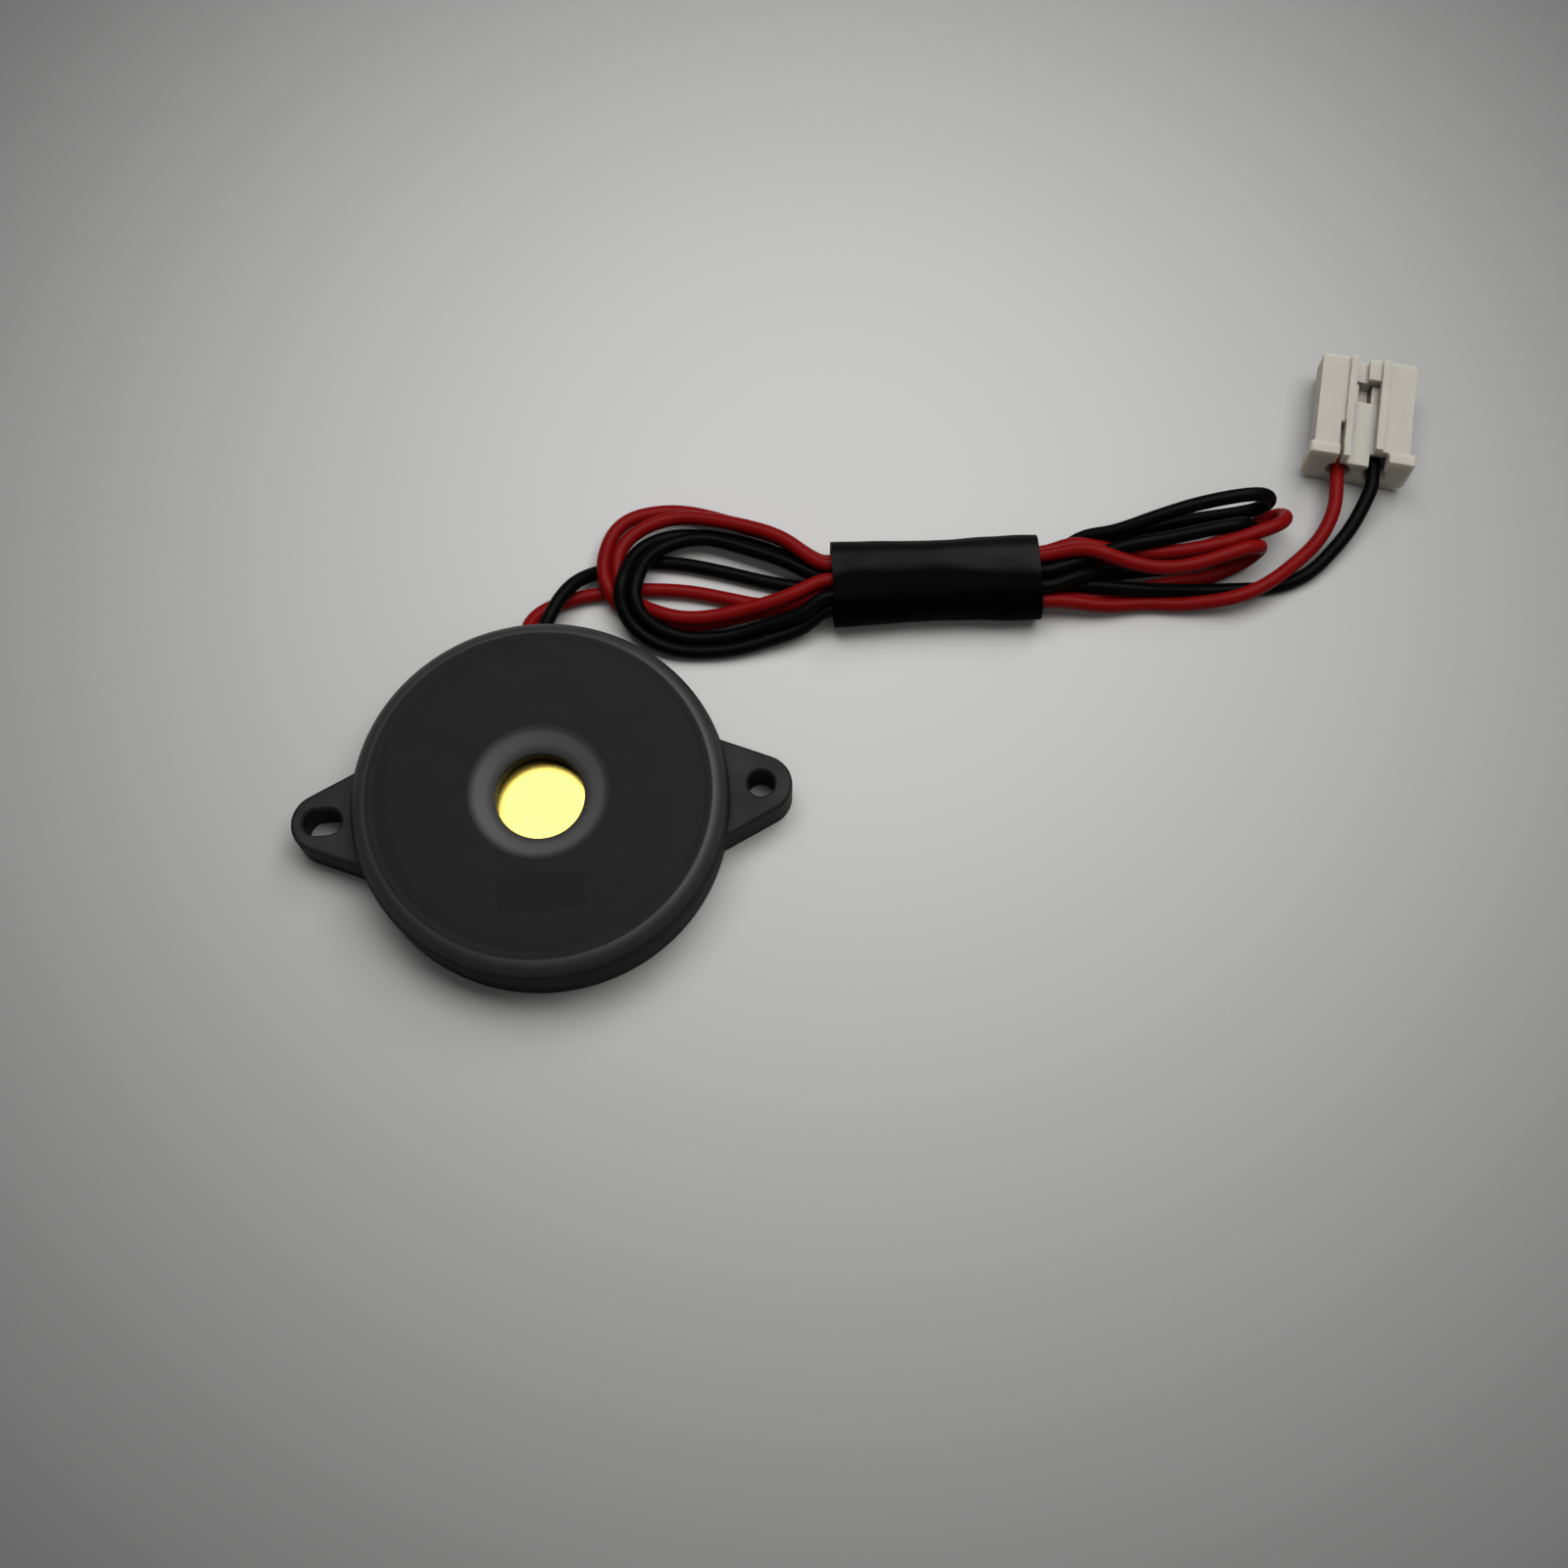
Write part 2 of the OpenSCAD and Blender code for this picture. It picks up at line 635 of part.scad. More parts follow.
// Crimp contact: an open box for the pin, and a barrel on the wire
module contact(x) {
    inner_w = contact_w - 2 * contact_wall;
    color([0.8, 0.78, 0.7]) at_housing() translate([x, contact_from, contact_z]) {
        rotate([-90, 0, 0]) cylinder(d = crimp_d, h = barrel_l + eps);
        difference() {
            translate([-contact_w / 2, barrel_l, -contact_w / 2])
                cube([contact_w, contact_l - barrel_l, contact_w]);
            translate([-inner_w / 2, barrel_l + contact_back, -inner_w / 2])
                cube([inner_w, contact_l, inner_w]);
        }
    }
}

module red_contact() { contact(-contact_pitch / 2); }

module black_contact() { contact(contact_pitch / 2); }

rear_case();
front_case();
brass_diaphragm();
piezo_ceramic();
silver_electrode();
bonding_ring();
red_solder_joint();
black_solder_joint();
red_core();
black_core();
lead_seal();
red_lead();
black_lead();
wire_hank();
hank_sleeve();
red_tail();
black_tail();
connector_housing();
red_contact();
black_contact();
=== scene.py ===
import math

import bmesh
import bpy
import numpy as np
from mathutils import Matrix, Vector, noise


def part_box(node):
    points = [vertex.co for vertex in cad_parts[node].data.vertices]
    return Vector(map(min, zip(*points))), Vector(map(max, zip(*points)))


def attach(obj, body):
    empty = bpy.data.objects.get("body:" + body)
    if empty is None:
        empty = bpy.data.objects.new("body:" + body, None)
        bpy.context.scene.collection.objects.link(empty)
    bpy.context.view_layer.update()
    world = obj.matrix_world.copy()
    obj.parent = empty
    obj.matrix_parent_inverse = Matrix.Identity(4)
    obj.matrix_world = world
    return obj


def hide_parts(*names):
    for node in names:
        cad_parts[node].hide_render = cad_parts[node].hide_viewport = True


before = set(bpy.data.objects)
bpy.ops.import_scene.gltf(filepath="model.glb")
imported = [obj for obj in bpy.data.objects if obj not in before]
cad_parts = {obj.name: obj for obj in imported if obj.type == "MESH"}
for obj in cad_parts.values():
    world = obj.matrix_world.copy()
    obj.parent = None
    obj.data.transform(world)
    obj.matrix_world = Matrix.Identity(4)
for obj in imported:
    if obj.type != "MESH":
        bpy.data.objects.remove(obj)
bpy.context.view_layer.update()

bl_info = {
    "name": "Piezo buzzer with folded lead",
    "version": (1, 0, 0),
    "blender": (4, 5, 0),
    "location": "3D View > Sidebar > Buzzer",
    "description": "Dresses the packed buzzer: two-part case, folded two-wire lead, sleeve and crimp housing",
    "category": "Object",
}

MM = 0.001
BODY = "root"

# Sizes that the dressed pieces share with the solids, in millimetres
CASE_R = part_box("front_case")[1].x / MM
CASE_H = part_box("front_case")[1].z / MM
REAR_R = CASE_R - 0.15
LEAD_X = 0.6
HANK_AT = (28.1, REAR_R + 1.9)
HANK_TURN = math.radians(-2.8)
SLEEVE_HALF = 7.2
HOUSING_AT = (59, REAR_R + 7.6)
HOUSING_TURN = math.radians(-16)
CONTACT_X = 1.25
CONTACT_Z = 1.725

# Heights on the case, in millimetres: where its sides begin and end, and where the painted shade on its sides
# and its coat change with them
EAR_SIDE_Z = 2.5
SEAM_Z = 2.95

# The camera's place in millimetres, and where it looks from in degrees round and above the part
CAMERA_AT = (11.8757, -45.1439, 125.4395)
CAMERA_AZ = math.radians(-5.4)
CAMERA_EL = math.radians(69.8)
CAMERA_LENS = 45
CAMERA_SENSOR = 36

# A painted pool of light on the floor: its lightest place, and how far it takes to darken, in metres
LIGHT_POOL_CENTRE = (0.019, 0.017)
LIGHT_POOL_REACH = (0.082, 0.085)

# Lamps that aim at the middle of the part: name, place, size in metres, watts
LAMPS = (
    ("soft_sky", (0.06, 0.09, 0.31), (0.4, 0.18), 1.05),
    ("key", (0.182, 0.237, 0.283), (0.14, 0.14), 0.3),
    ("front_sky", (0.0, -0.15, 0.29), (0.3, 0.09), 0.05),
)
LAMP_AIM = (0.02, 0.005, 0)
SKY_LIGHT = 0.09


# ---- Places ----

def from_exit(points):
    """Points measured from the lead exit on the rear case's wall, in the part's frame."""
    return [(x, y + REAR_R, z) for x, y, z in points]


def turned(points, at, turn):
    """Points measured along and across a turned piece, in the part's frame."""
    c, s = math.cos(turn), math.sin(turn)
    return [(at[0] + x * c - y * s, at[1] + x * s + y * c, z) for x, y, z in points]


def from_hank(points):
    return turned(points, HANK_AT, HANK_TURN)


def from_housing(points):
    return turned(points, HOUSING_AT, HOUSING_TURN)


def line_of_sight():
    """The direction from the part to the camera."""
    return np.array([math.sin(CAMERA_AZ) * math.cos(CAMERA_EL), -math.cos(CAMERA_AZ) * math.cos(CAMERA_EL),
                     math.sin(CAMERA_EL)])


# ---- The two cords: how each wire runs, in millimetres ----

# Places of the ten strands across the sleeve: distance from its axis, and height
ROWS = {
    "top": [(-1.2, 2.55), (0, 2.55), (1.2, 2.55)],
    "mid": [(-1.8, 1.7), (-0.6, 1.7), (0.6, 1.7), (1.8, 1.7)],
    "low": [(-1.2, 0.85), (0, 0.85), (1.2, 0.85)],
}


def through(start, end, way=1):
    """A straight pass through the sleeve, from one strand place to another; way is -1 towards the case."""
    ends = [(-8.0, start), (-6.4, start), (6.4, end), (8.0, end)]
    return from_hank([(x, ROWS[row][k][0], ROWS[row][k][1]) for x, (row, k) in ends][::way])


# Loops at the case end, in the hank's frame, each from the far side of the sleeve round to the near side
RED_NEAR_OVER = [
    (-10.4, 3.5, 2.3), (-13.1, 4.7, 2.1), (-15.9, 5.6, 1.7), (-17.6, 5.9, 1.5), (-19.5, 5.6, 1.4),
    (-21, 4.8, 1.4), (-22, 3.8, 1.2), (-22.5, 2.6, 1), (-22.4, 1.4, 0.7), (-21.8, 0.3, 0.5),
    (-20.8, -0.7, 0.6), (-19.4, -1.5, 1), (-17.5, -2, 1.4), (-15.4, -2, 1.6), (-13, -1.6, 1.9),
    (-10.3, -1.1, 2.4)]
RED_NEAR_UNDER = [
    (-10.4, 4, 1), (-13.1, 5.3, 0.7), (-15.9, 6.4, 0.6), (-18, 6.8, 0.7), (-20.1, 6.6, 0.9),
    (-21.7, 6, 1), (-22.7, 4.8, 1), (-23, 3.5, 0.9), (-23.1, 2.1, 0.7), (-22.8, 0.8, 0.5),
    (-22, -0.4, 0.5), (-20.6, -1.4, 0.5), (-18.6, -2, 0.5), (-16.2, -2.1, 0.6), (-13.4, -1.7, 0.9),
    (-10.6, -1.3, 1.5)]
BLACK_NEAR_OUTER = [
    (-10.4, 2.9, 0.8), (-13.2, 4.1, 0.6), (-15.9, 4.8, 0.5), (-17.9, 4.9, 0.6), (-19.6, 4.4, 0.9),
    (-20.9, 3.3, 1.3), (-21.6, 1.9, 1.5), (-22, 0.4, 1.5), (-22, -1, 1.5), (-21.3, -2.3, 1.3),
    (-20.3, -3.2, 1), (-18.7, -3.9, 0.7), (-16.8, -4.2, 0.5), (-14.2, -4.1, 0.6), (-11.8, -3.5, 0.9),
    (-9.3, -3, 1.4)]
BLACK_NEAR_INNER = [
    (-10.5, 2.2, 1.5), (-13.2, 3.4, 1.2), (-15.6, 4.4, 0.9), (-17.3, 4.4, 0.9), (-18.9, 3.8, 1.2),
    (-20, 2.9, 1.6), (-20.8, 1.5, 2), (-21.2, 0.1, 2.1), (-21.1, -1, 1.9), (-20.4, -2, 1.5),
    (-19.4, -2.6, 1), (-18, -3.1, 0.6), (-16.1, -3.2, 0.5), (-13.8, -3.1, 0.7), (-11.4, -2.7, 1.3),
    (-9.2, -2.3, 2)]

# Loops at the connector end, in the hank's frame, out to the tip and back
RED_FAR_FIRST = [
    (9, -1.3, 0.8), (11.1, -1.2, 0.5), (13.6, -1, 0.5), (16.4, -0.6, 0.5), (18.9, -0.2, 0.5),
    (21, 0.5, 0.6), (22.6, 1.2, 1), (23.6, 1.7, 1.8), (23.5, 1.5, 2.7), (22.3, 1, 3.3), (20.5, 0.4, 3.4),
    (18.8, -0.1, 3.3), (17, -0.4, 3.1), (15, -0.3, 3), (13, 0.4, 2.9), (10.7, 1.4, 2.8)]
RED_FAR_SECOND = [
    (10.6, 1.4, 0.8), (13.8, 1.6, 0.6), (17.4, 1.8, 0.5), (19.9, 2.5, 0.5), (22.2, 3.5, 0.6),
    (24.1, 4.3, 0.9), (25.3, 4.4, 1.6), (25.5, 3.6, 2.6), (24.6, 2.7, 3.2), (22.8, 2, 3.3),
    (20.4, 1.4, 3), (17.3, 1.1, 2.6), (14.6, 1.2, 2.3), (12.2, 1.7, 2.1), (9.9, 2.3, 1.9)]
BLACK_FAR_FIRST = [
    (10.3, 2.7, 1.5), (12.9, 2.8, 2.7), (15.6, 3.3, 3.7), (18.2, 3.8, 4.3), (20.5, 4.1, 4.6),
    (22.2, 4.3, 4.6), (23.7, 4.4, 4.2), (24.5, 4.5, 3.4), (24.3, 4.5, 2.5), (22.9, 4.4, 1.9),
    (21.4, 4.2, 1.8), (19.3, 4, 1.8), (16.6, 3.6, 1.8), (13.8, 2.9, 1.8), (10.9, 2.2, 1.7)]
BLACK_FAR_SECOND = [
    (10, -0.2, 1.9), (12.2, 0.2, 1.2), (14.8, 0.6, 0.7), (17.3, 0.9, 0.5), (19.8, 1.3, 0.5),
    (21.6, 1.9, 0.6), (22.8, 2.6, 1.1), (23.3, 3.1, 1.9), (22.8, 3, 2.8), (21.3, 2.6, 3.4),
    (19, 2.3, 3.3), (16.3, 1.9, 3), (13.5, 1.6, 2.7), (10.7, 1, 2.5)]

# From inside the case to the sleeve, measured from the lead exit
RED_LEAD = [
    (-0.6, -4.35, 1.55), (-0.6, -2.1, 1.55), (-0.6, 0, 1.55), (-0.6, 1, 1.5), (-0.2, 1.9, 1.1),
    (0.7, 2.7, 0.7), (1.9, 3.2, 0.5), (3.3, 3.6, 0.5), (4.9, 3.6, 0.5), (7.6, 3.7, 0.5),
    (10.7, 3.3, 0.5), (13.4, 2.5, 0.5), (15.7, 1.7, 0.6), (18.1, 1.4, 0.7)]
BLACK_LEAD = [
    (0.6, -3.15, 1.55), (0.6, -1.5, 1.55), (0.6, 0, 1.55), (0.6, 0.9, 1.8), (1.2, 1.7, 2.1),
    (1.9, 2.9, 2.1), (3, 4.2, 1.8), (4.6, 5.3, 0.8), (6.7, 6, 0.5), (9.1, 5.7, 0.5), (10.8, 5.4, 0.5),
    (13.6, 4.5, 0.5), (16.3, 3.5, 0.5), (18.6, 2.8, 0.6)]

# From the sleeve to the connector, measured from the lead exit
RED_TAIL = [
    (37.6, -0.35, 1.1), (40, -0.65, 0.6), (43, -0.65, 0.5), (46, -1.05, 0.7), (48.6, -1.3, 1.5),
    (51, -0.6, 1.6), (53.2, 0.8, 1.4), (55.4, 2.5, 1.4), (56.7, 4.2, 1.6), (57.3, 5.6, 1.7)]
BLACK_TAIL = [
    (37.6, 1.1, 1), (40, 0.6, 0.6), (43, 0.3, 0.5), (46, 0, 0.5), (49, -0.2, 0.5), (52, -0.3, 0.5),
    (54.6, 0.5, 0.5), (56.4, 1.9, 0.8), (58, 3.4, 1.2), (59.1, 4.9, 1.6)]


def into_housing(side):
    """The last stretch of a wire, straight into the housing up to its contact."""
    return from_housing([(side * CONTACT_X, y, CONTACT_Z) for y in (-1, 0, 1.2)])


def red_route():
    return (from_exit(RED_LEAD) + through(("low", 0), ("low", 0)) + from_hank(RED_FAR_FIRST)
            + through(("top", 2), ("top", 2), -1) + from_hank(RED_NEAR_OVER)
            + through(("top", 1), ("low", 1)) + from_hank(RED_FAR_SECOND)
            + through(("mid", 3), ("mid", 3), -1) + from_hank(RED_NEAR_UNDER)
            + through(("mid", 1), ("mid", 0)) + from_exit(RED_TAIL) + into_housing(-1))


def black_route():
    return (from_exit(BLACK_LEAD) + through(("low", 1), ("low", 2)) + from_hank(BLACK_FAR_FIRST)
            + through(("low", 2), ("mid", 2), -1) + from_hank(BLACK_NEAR_OUTER)
            + through(("mid", 0), ("top", 0)) + from_hank(BLACK_FAR_SECOND)
            + through(("mid", 2), ("top", 1), -1) + from_hank(BLACK_NEAR_INNER)
            + through(("top", 0), ("mid", 1)) + from_exit(BLACK_TAIL) + into_housing(1))


def smooth_line(points, step):
    """Points at even steps along a smooth line through the given points."""
    per_stretch = 16
    p = np.array(points, float)
    p = np.vstack([2 * p[0] - p[1], p, 2 * p[-1] - p[-2]])
    t = np.linspace(0, 1, per_stretch, endpoint=False)[:, None]
    stretches = [
        (2 * b + (c - a) * t + (2 * a - 5 * b + 4 * c - d) * t**2 + (3 * b - a - 3 * c + d) * t**3) / 2
        for a, b, c, d in zip(p, p[1:], p[2:], p[3:])]
    line = np.vstack([*stretches, p[-2:-1]])
    gone = np.concatenate([[0], np.cumsum(np.linalg.norm(np.diff(line, axis=0), axis=1))])
    at = np.linspace(0, gone[-1], int(gone[-1] / step) + 1)
    return np.column_stack([np.interp(at, gone, line[:, k]) for k in range(3)])


def kept_in_sleeve(at):
    """Draws every point that is inside the sleeve back within its bore."""
    flat_half, round_r, axis_z = 1.35, 0.88, 1.7
    c, s = math.cos(HANK_TURN), math.sin(HANK_TURN)
    x = (at[:, 0] - HANK_AT[0]) * c + (at[:, 1] - HANK_AT[1]) * s
    y = (at[:, 1] - HANK_AT[1]) * c - (at[:, 0] - HANK_AT[0]) * s
    core_y = np.clip(y, -flat_half, flat_half)
    off_y, off_z = y - core_y, at[:, 2] - axis_z
    off = np.hypot(off_y, off_z)
    share = np.where((np.abs(x) < SLEEVE_HALF) & (off > round_r), round_r / np.maximum(off, 1e-9), 1)
    y = np.where(share < 1, core_y + off_y * share, y)
    z = np.where(share < 1, axis_z + off_z * share, at[:, 2])
    return np.column_stack([HANK_AT[0] + x * c - y * s, HANK_AT[1] + x * s + y * c, z])


def settle(routes, d, step=0.5, rounds=240, held=6):
    """Lets wires of diameter d lie softly bent, a diameter apart and on the floor, near their routes.

    Each round pushes strands apart, eases the bends that are too tight over 1, 3 and 6 steps, keeps the steps
    even, and draws the wires back to their routes: firmly across the line of sight, lightly along it.
    """
    look_out, own_steps, look_every = 1.25 * d, 5, 8
    most_push = 1.6
    eases = ((1, 0.25), (3, 0.35), (6, 0.12))
    least_bend = 3 * d
    firmly, lightly = 0.06, 0.012
    lines = [smooth_line(route, step) for route in routes]
    at = np.vstack(lines)
    home = at.copy()
    ends = np.cumsum([0] + [len(line) for line in lines])
    spans = list(zip(ends, ends[1:]))
    sight = line_of_sight()
    number = np.arange(len(at))
    wire = np.repeat(np.arange(len(lines)), [len(line) for line in lines])
    fixed = np.zeros(len(at), bool)
    for a, b in spans:
        fixed[a:a + held] = fixed[b - held:b] = True
    for turn in range(rounds):
        if turn % look_every == 0:
            apart = np.linalg.norm(at[:, None] - at[None], axis=2)
            strangers = (wire[:, None] != wire[None]) | (np.abs(number[:, None] - number[None]) > own_steps)
            i, j = np.nonzero(np.triu((apart < look_out) & strangers))
        way = at[i] - at[j]
        far = np.maximum(np.linalg.norm(way, axis=1), 1e-6)
        short = np.maximum(0, d - far)
        move = way / far[:, None] * (short / 2)[:, None]
        push, hits = np.zeros_like(at), np.zeros(len(at))
        for ends_of, sign in ((i, 1), (j, -1)):
            np.add.at(push, ends_of, sign * move)
            np.add.at(hits, ends_of, short > 0)
        hits = np.maximum(hits, 1)
        at += push * (np.minimum(most_push, hits) / hits)[:, None]
        eased = np.zeros_like(at)
        for a, b in spans:
            line = at[a:b]
            for reach, ease in eases:
                sag = (line[:-2 * reach] + line[2 * reach:]) / 2 - line[reach:-reach]
                size = np.maximum(np.linalg.norm(sag, axis=1), 1e-9)
                allowed = 0 if reach == 1 else (reach * step)**2 / (2 * least_bend)
                eased[a + reach:b - reach] += ease * sag * (np.maximum(0, size - allowed) / size)[:, None]
        at += eased
        for a, b in spans:
            line = at[a:b]
            edge = np.diff(line, axis=0)
            long = np.linalg.norm(edge, axis=1)[:, None]
            give = edge / np.maximum(long, 1e-9) * (long - step) / 4
            line[:-1] += give
            line[1:] -= give
        pull = home - at
        along = (pull @ sight)[:, None] * sight
        at += firmly * (pull - along) + lightly * along
        at[:, 2] = np.maximum(at[:, 2], d / 2)
        at = kept_in_sleeve(at)
        at[fixed] = home[fixed]
    return [at[a:b] for a, b in spans]


# ---- Shaders ----

class Value:
    """One output socket of a node, so that shader maths reads as plain arithmetic."""

    def __init__(self, shader, socket):
        self.shader = shader
        self.socket = socket

    def maths(self, operation, first, second):
        return self.shader.add("ShaderNodeMath", {"operation": operation}, {0: first, 1: second})

    def __add__(self, other):
        return self.maths("ADD", self, other)

    def __radd__(self, other):
        return self.maths("ADD", other, self)

    def __sub__(self, other):
        return self.maths("SUBTRACT", self, other)

    def __rsub__(self, other):
        return self.maths("SUBTRACT", other, self)

    def __mul__(self, other):
        return self.maths("MULTIPLY", self, other)

    def __rmul__(self, other):
        return self.maths("MULTIPLY", other, self)

    def __truediv__(self, other):
        return self.maths("DIVIDE", self, other)

    def __rtruediv__(self, other):
        return self.maths("DIVIDE", other, self)

    def __pow__(self, other):
        return self.maths("POWER", self, other)

    def at_least(self, other):
        return self.maths("MAXIMUM", self, other)

    def size(self):
        return self.maths("ABSOLUTE", self, 0)


class Shader:
    """A material that ends in one Principled shader."""

    def __init__(self, name, **constants):
        self.material = bpy.data.materials.new(name)
        self.material.use_nodes = True
        self.tree = self.material.node_tree
        self.tree.nodes.clear()
        output = self.tree.nodes.new("ShaderNodeOutputMaterial")
        self.surface = self.tree.nodes.new("ShaderNodeBsdfPrincipled")
        self.tree.links.new(self.surface.outputs[0], output.inputs["Surface"])
        for socket, value in constants.items():
            self.put(self.surface.inputs[socket.replace("_", " ")], value)

    def put(self, socket, value):
        if isinstance(value, Value):
            self.tree.links.new(value.socket, socket)
        elif hasattr(value, "__len__") and len(value) == 3 and socket.type == "RGBA":
            socket.default_value = (*value, 1)
        else:
            socket.default_value = value

    def add(self, kind, settings=None, inputs=None, output=0):
        """Adds a node: its settings first, then its sockets' values or links; output None gives them all."""
        node = self.tree.nodes.new(kind)
        for name, value in (settings or {}).items():
            setattr(node, name, value)
        for name, value in (inputs or {}).items():
            self.put(node.inputs[name], value)
        if output is None:
            return [Value(self, socket) for socket in node.outputs]
        return Value(self, node.outputs[output])

    def place(self):
        """Object coordinates."""
        return self.add("ShaderNodeTexCoord", output="Object")

    def axes(self, vector):
        """The three parts of a vector."""
        return self.add("ShaderNodeSeparateXYZ", {}, {0: vector}, None)

    def grain(self, size, detail=2.0, roughness=0.5, vector=None):
        """Noise from 0 to 1 with grains of about that size in millimetres."""
        sockets = {"Vector": vector or self.place(), "Scale": 1 / (size * MM), "Detail": detail,
                   "Roughness": roughness}
        return self.add("ShaderNodeTexNoise", {}, sockets, "Fac")

    def drawn_out(self, scale, turn):
        """Object coordinates scaled along each axis and turned about Z."""
        sockets = {"Vector": self.place(), "Scale": scale, "Rotation": (0, 0, turn)}
        return self.add("ShaderNodeMapping", {}, sockets)

    def between(self, value, low, high, start=0.0, end=1.0):
        """Maps a value from low..high to start..end, smoothly and with ends held."""
        settings = {"interpolation_type": "SMOOTHSTEP"}
        sockets = {"Value": value, "From Min": low, "From Max": high, "To Min": start, "To Max": end}
        return self.add("ShaderNodeMapRange", settings, sockets)

    def mix(self, share, first, second):
        """Two colours mixed."""
        return self.add("ShaderNodeMix", {"data_type": "RGBA"}, {0: share, 6: first, 7: second}, 2)

    def bump(self, height, depth, strength=1.0, over=None):
        """A normal from a height of 0 to 1 that stands for that depth in millimetres."""
        sockets = {"Height": height, "Distance": depth * MM, "Strength": strength}
        if over:
            sockets["Normal"] = over
        return self.add("ShaderNodeBump", {}, sockets)

    def set(self, **sockets):
        for socket, value in sockets.items():
            self.put(self.surface.inputs[socket.replace("_", " ")], value)
        return self.material


def srgb(red, green, blue):
    """A display colour of 0 to 255 as the linear colour that a shader takes."""
    parts = [c / 255 for c in (red, green, blue)]
    return tuple(c / 12.92 if c <= 0.04045 else ((c + 0.055) / 1.055)**2.4 for c in parts)


def shade(tone, share):
    """A colour made darker or lighter by that share."""
    return [c * share for c in tone]


def soft_box(shader, x, y, centre, half, edge):
    """1 inside an upright rectangle on the face, 0 outside, with an edge of that width, all in mm."""
    beyond = [(p / MM - c).size() - h for p, c, h in zip((x, y), centre, half)]
    return shader.between(beyond[0].at_least(beyond[1]), -edge / 2, edge / 2, 1.0, 0.0)


def case_plastic(name, tone):
    """Moulded black plastic: a fine spark-eroded face with a bare name place, a smooth dish and edge; the
    dish is painted lighter as a painted reflection, and the lower walls darker as painted shade.
    """
    sh = Shader(name, Specular_IOR_Level=0.07, Coat_Roughness=0.5)
    x, y, z = sh.axes(sh.place())
    radius = (x * x + y * y) ** 0.5
    face = sh.between(z, 4.955 * MM, 4.99 * MM)
    dish = sh.between(radius, 3 * MM, 3.7 * MM, 0.35) * sh.between(radius, 4.05 * MM, 4.75 * MM, 1.0, 0.0)
    # Painted shade: the rear case below the ears' tops and the front case's side wall are darkened towards
    # black, for the shade on the lower walls.
    side = sh.between(z, EAR_SIDE_Z * MM, (EAR_SIDE_Z + 0.15) * MM, 1.0, 0.0)
    front_wall_shade = sh.between(z, 3.3 * MM, 3.9 * MM, 1.0, 0.0) * sh.between(z, 2.85 * MM, 2.9 * MM)
    side = side.at_least(front_wall_shade)
    edge = sh.between(radius, 11.0 * MM, 11.25 * MM) * sh.between(z, 4.1 * MM, 4.6 * MM) * (1 - face)
    rear = sh.between(z, 2.9 * MM, SEAM_Z * MM, 1.0, 0.0)
    name_place = soft_box(sh, x, y, (-0.15, -6.9), (2.9, 1.3), 0.5) * face
    fine = sh.grain(0.11, 3.0, 0.6)
    broad = sh.grain(2.6, 3.0)
    colour = sh.mix(broad, shade(tone, 0.8), shade(tone, 1.2))
    colour = sh.mix(name_place * 0.6, colour, shade(tone, 0.72))
    # Painted reflection: the dish is coloured lighter for the light that it reflects.
    colour = sh.mix(dish * 0.8, colour, shade(tone, 6))
    # Painted shade on the lower walls of both case halves.
    colour = sh.mix(side * 0.7, colour, srgb(4, 4, 4))
    rough = 0.55 + 0.12 * broad + 0.06 * fine
    height = fine * (0.35 + 0.65 * face) * (1 - name_place * 0.6)
    return sh.set(Base_Color=colour, Roughness=rough,
                  Coat_Weight=(0.85 + 0.15 * broad) * edge + 0.6 * dish + 0.3 * rear * broad,
                  Normal=sh.bump(height, 0.02, 0.5))


def insulation(name, tone, shine):
    """Extruded PVC: smooth, slightly waxy, with faint drag marks and dust."""
    sh = Shader(name, Specular_IOR_Level=shine, Coat_Roughness=0.2)
    broad = sh.grain(2.2, 3.0, 0.6)
    fine = sh.grain(0.16, 2.0)
    colour = sh.mix(broad, shade(tone, 0.82), shade(tone, 1.12))
    rough = 0.3 + 0.14 * broad + 0.05 * fine
    return sh.set(Base_Color=colour, Roughness=rough, Coat_Weight=0.3 * shine * broad,
                  Normal=sh.bump(broad * 0.7 + fine * 0.3, 0.03, 0.5))


def sleeve_film(name):
    """Shrunk black film: fine stretch lines along it, its rear side coloured lighter as a painted sheen, with
    a little coat there.
    """
    sh = Shader(name, Specular_IOR_Level=0.01, Coat_Roughness=0.34)
    x, y, _ = sh.axes(sh.place())
    along_x, along_y = math.cos(HANK_TURN), math.sin(HANK_TURN)
    across = (y / MM - HANK_AT[1]) * along_x - (x / MM - HANK_AT[0]) * along_y
    stretched = sh.drawn_out((0.25, 1, 1), -HANK_TURN)
    lines = sh.grain(0.35, 3.0, 0.6, stretched)
    broad = sh.grain(5.0, 1.0)
    # Painted sheen: the film's rear side is coloured lighter where light catches it; the same mask gives it a
    # little coat.
    painted_sheen_side = sh.between(across + 2.2 * (broad - 0.5) + 0.3 * (lines - 0.5), -0.5, 0.6)
    colour = sh.mix(painted_sheen_side, srgb(2, 2, 2), srgb(12, 12, 12))
    return sh.set(Base_Color=colour, Roughness=0.4 + 0.14 * broad,
                  Coat_Weight=painted_sheen_side * (0.06 + 0.14 * broad), Normal=sh.bump(lines, 0.02, 0.45))


def brass_sheet(name):
    """Rolled brass, bright, with faint rolling marks one way and a warm cast where it has dulled."""
    sh = Shader(name, Metallic=1.0)
    marks = sh.grain(0.09, 2.0, 0.5, sh.drawn_out((0.06, 1, 1), 0.5))
    dull = sh.grain(2.5, 3.0)
    colour = sh.mix(dull, (0.62, 0.47, 0.1), (0.55, 0.41, 0.085))
    return sh.set(Base_Color=colour, Roughness=0.2 + 0.05 * marks + 0.06 * dull,
                  Normal=sh.bump(marks, 0.004, 0.3))


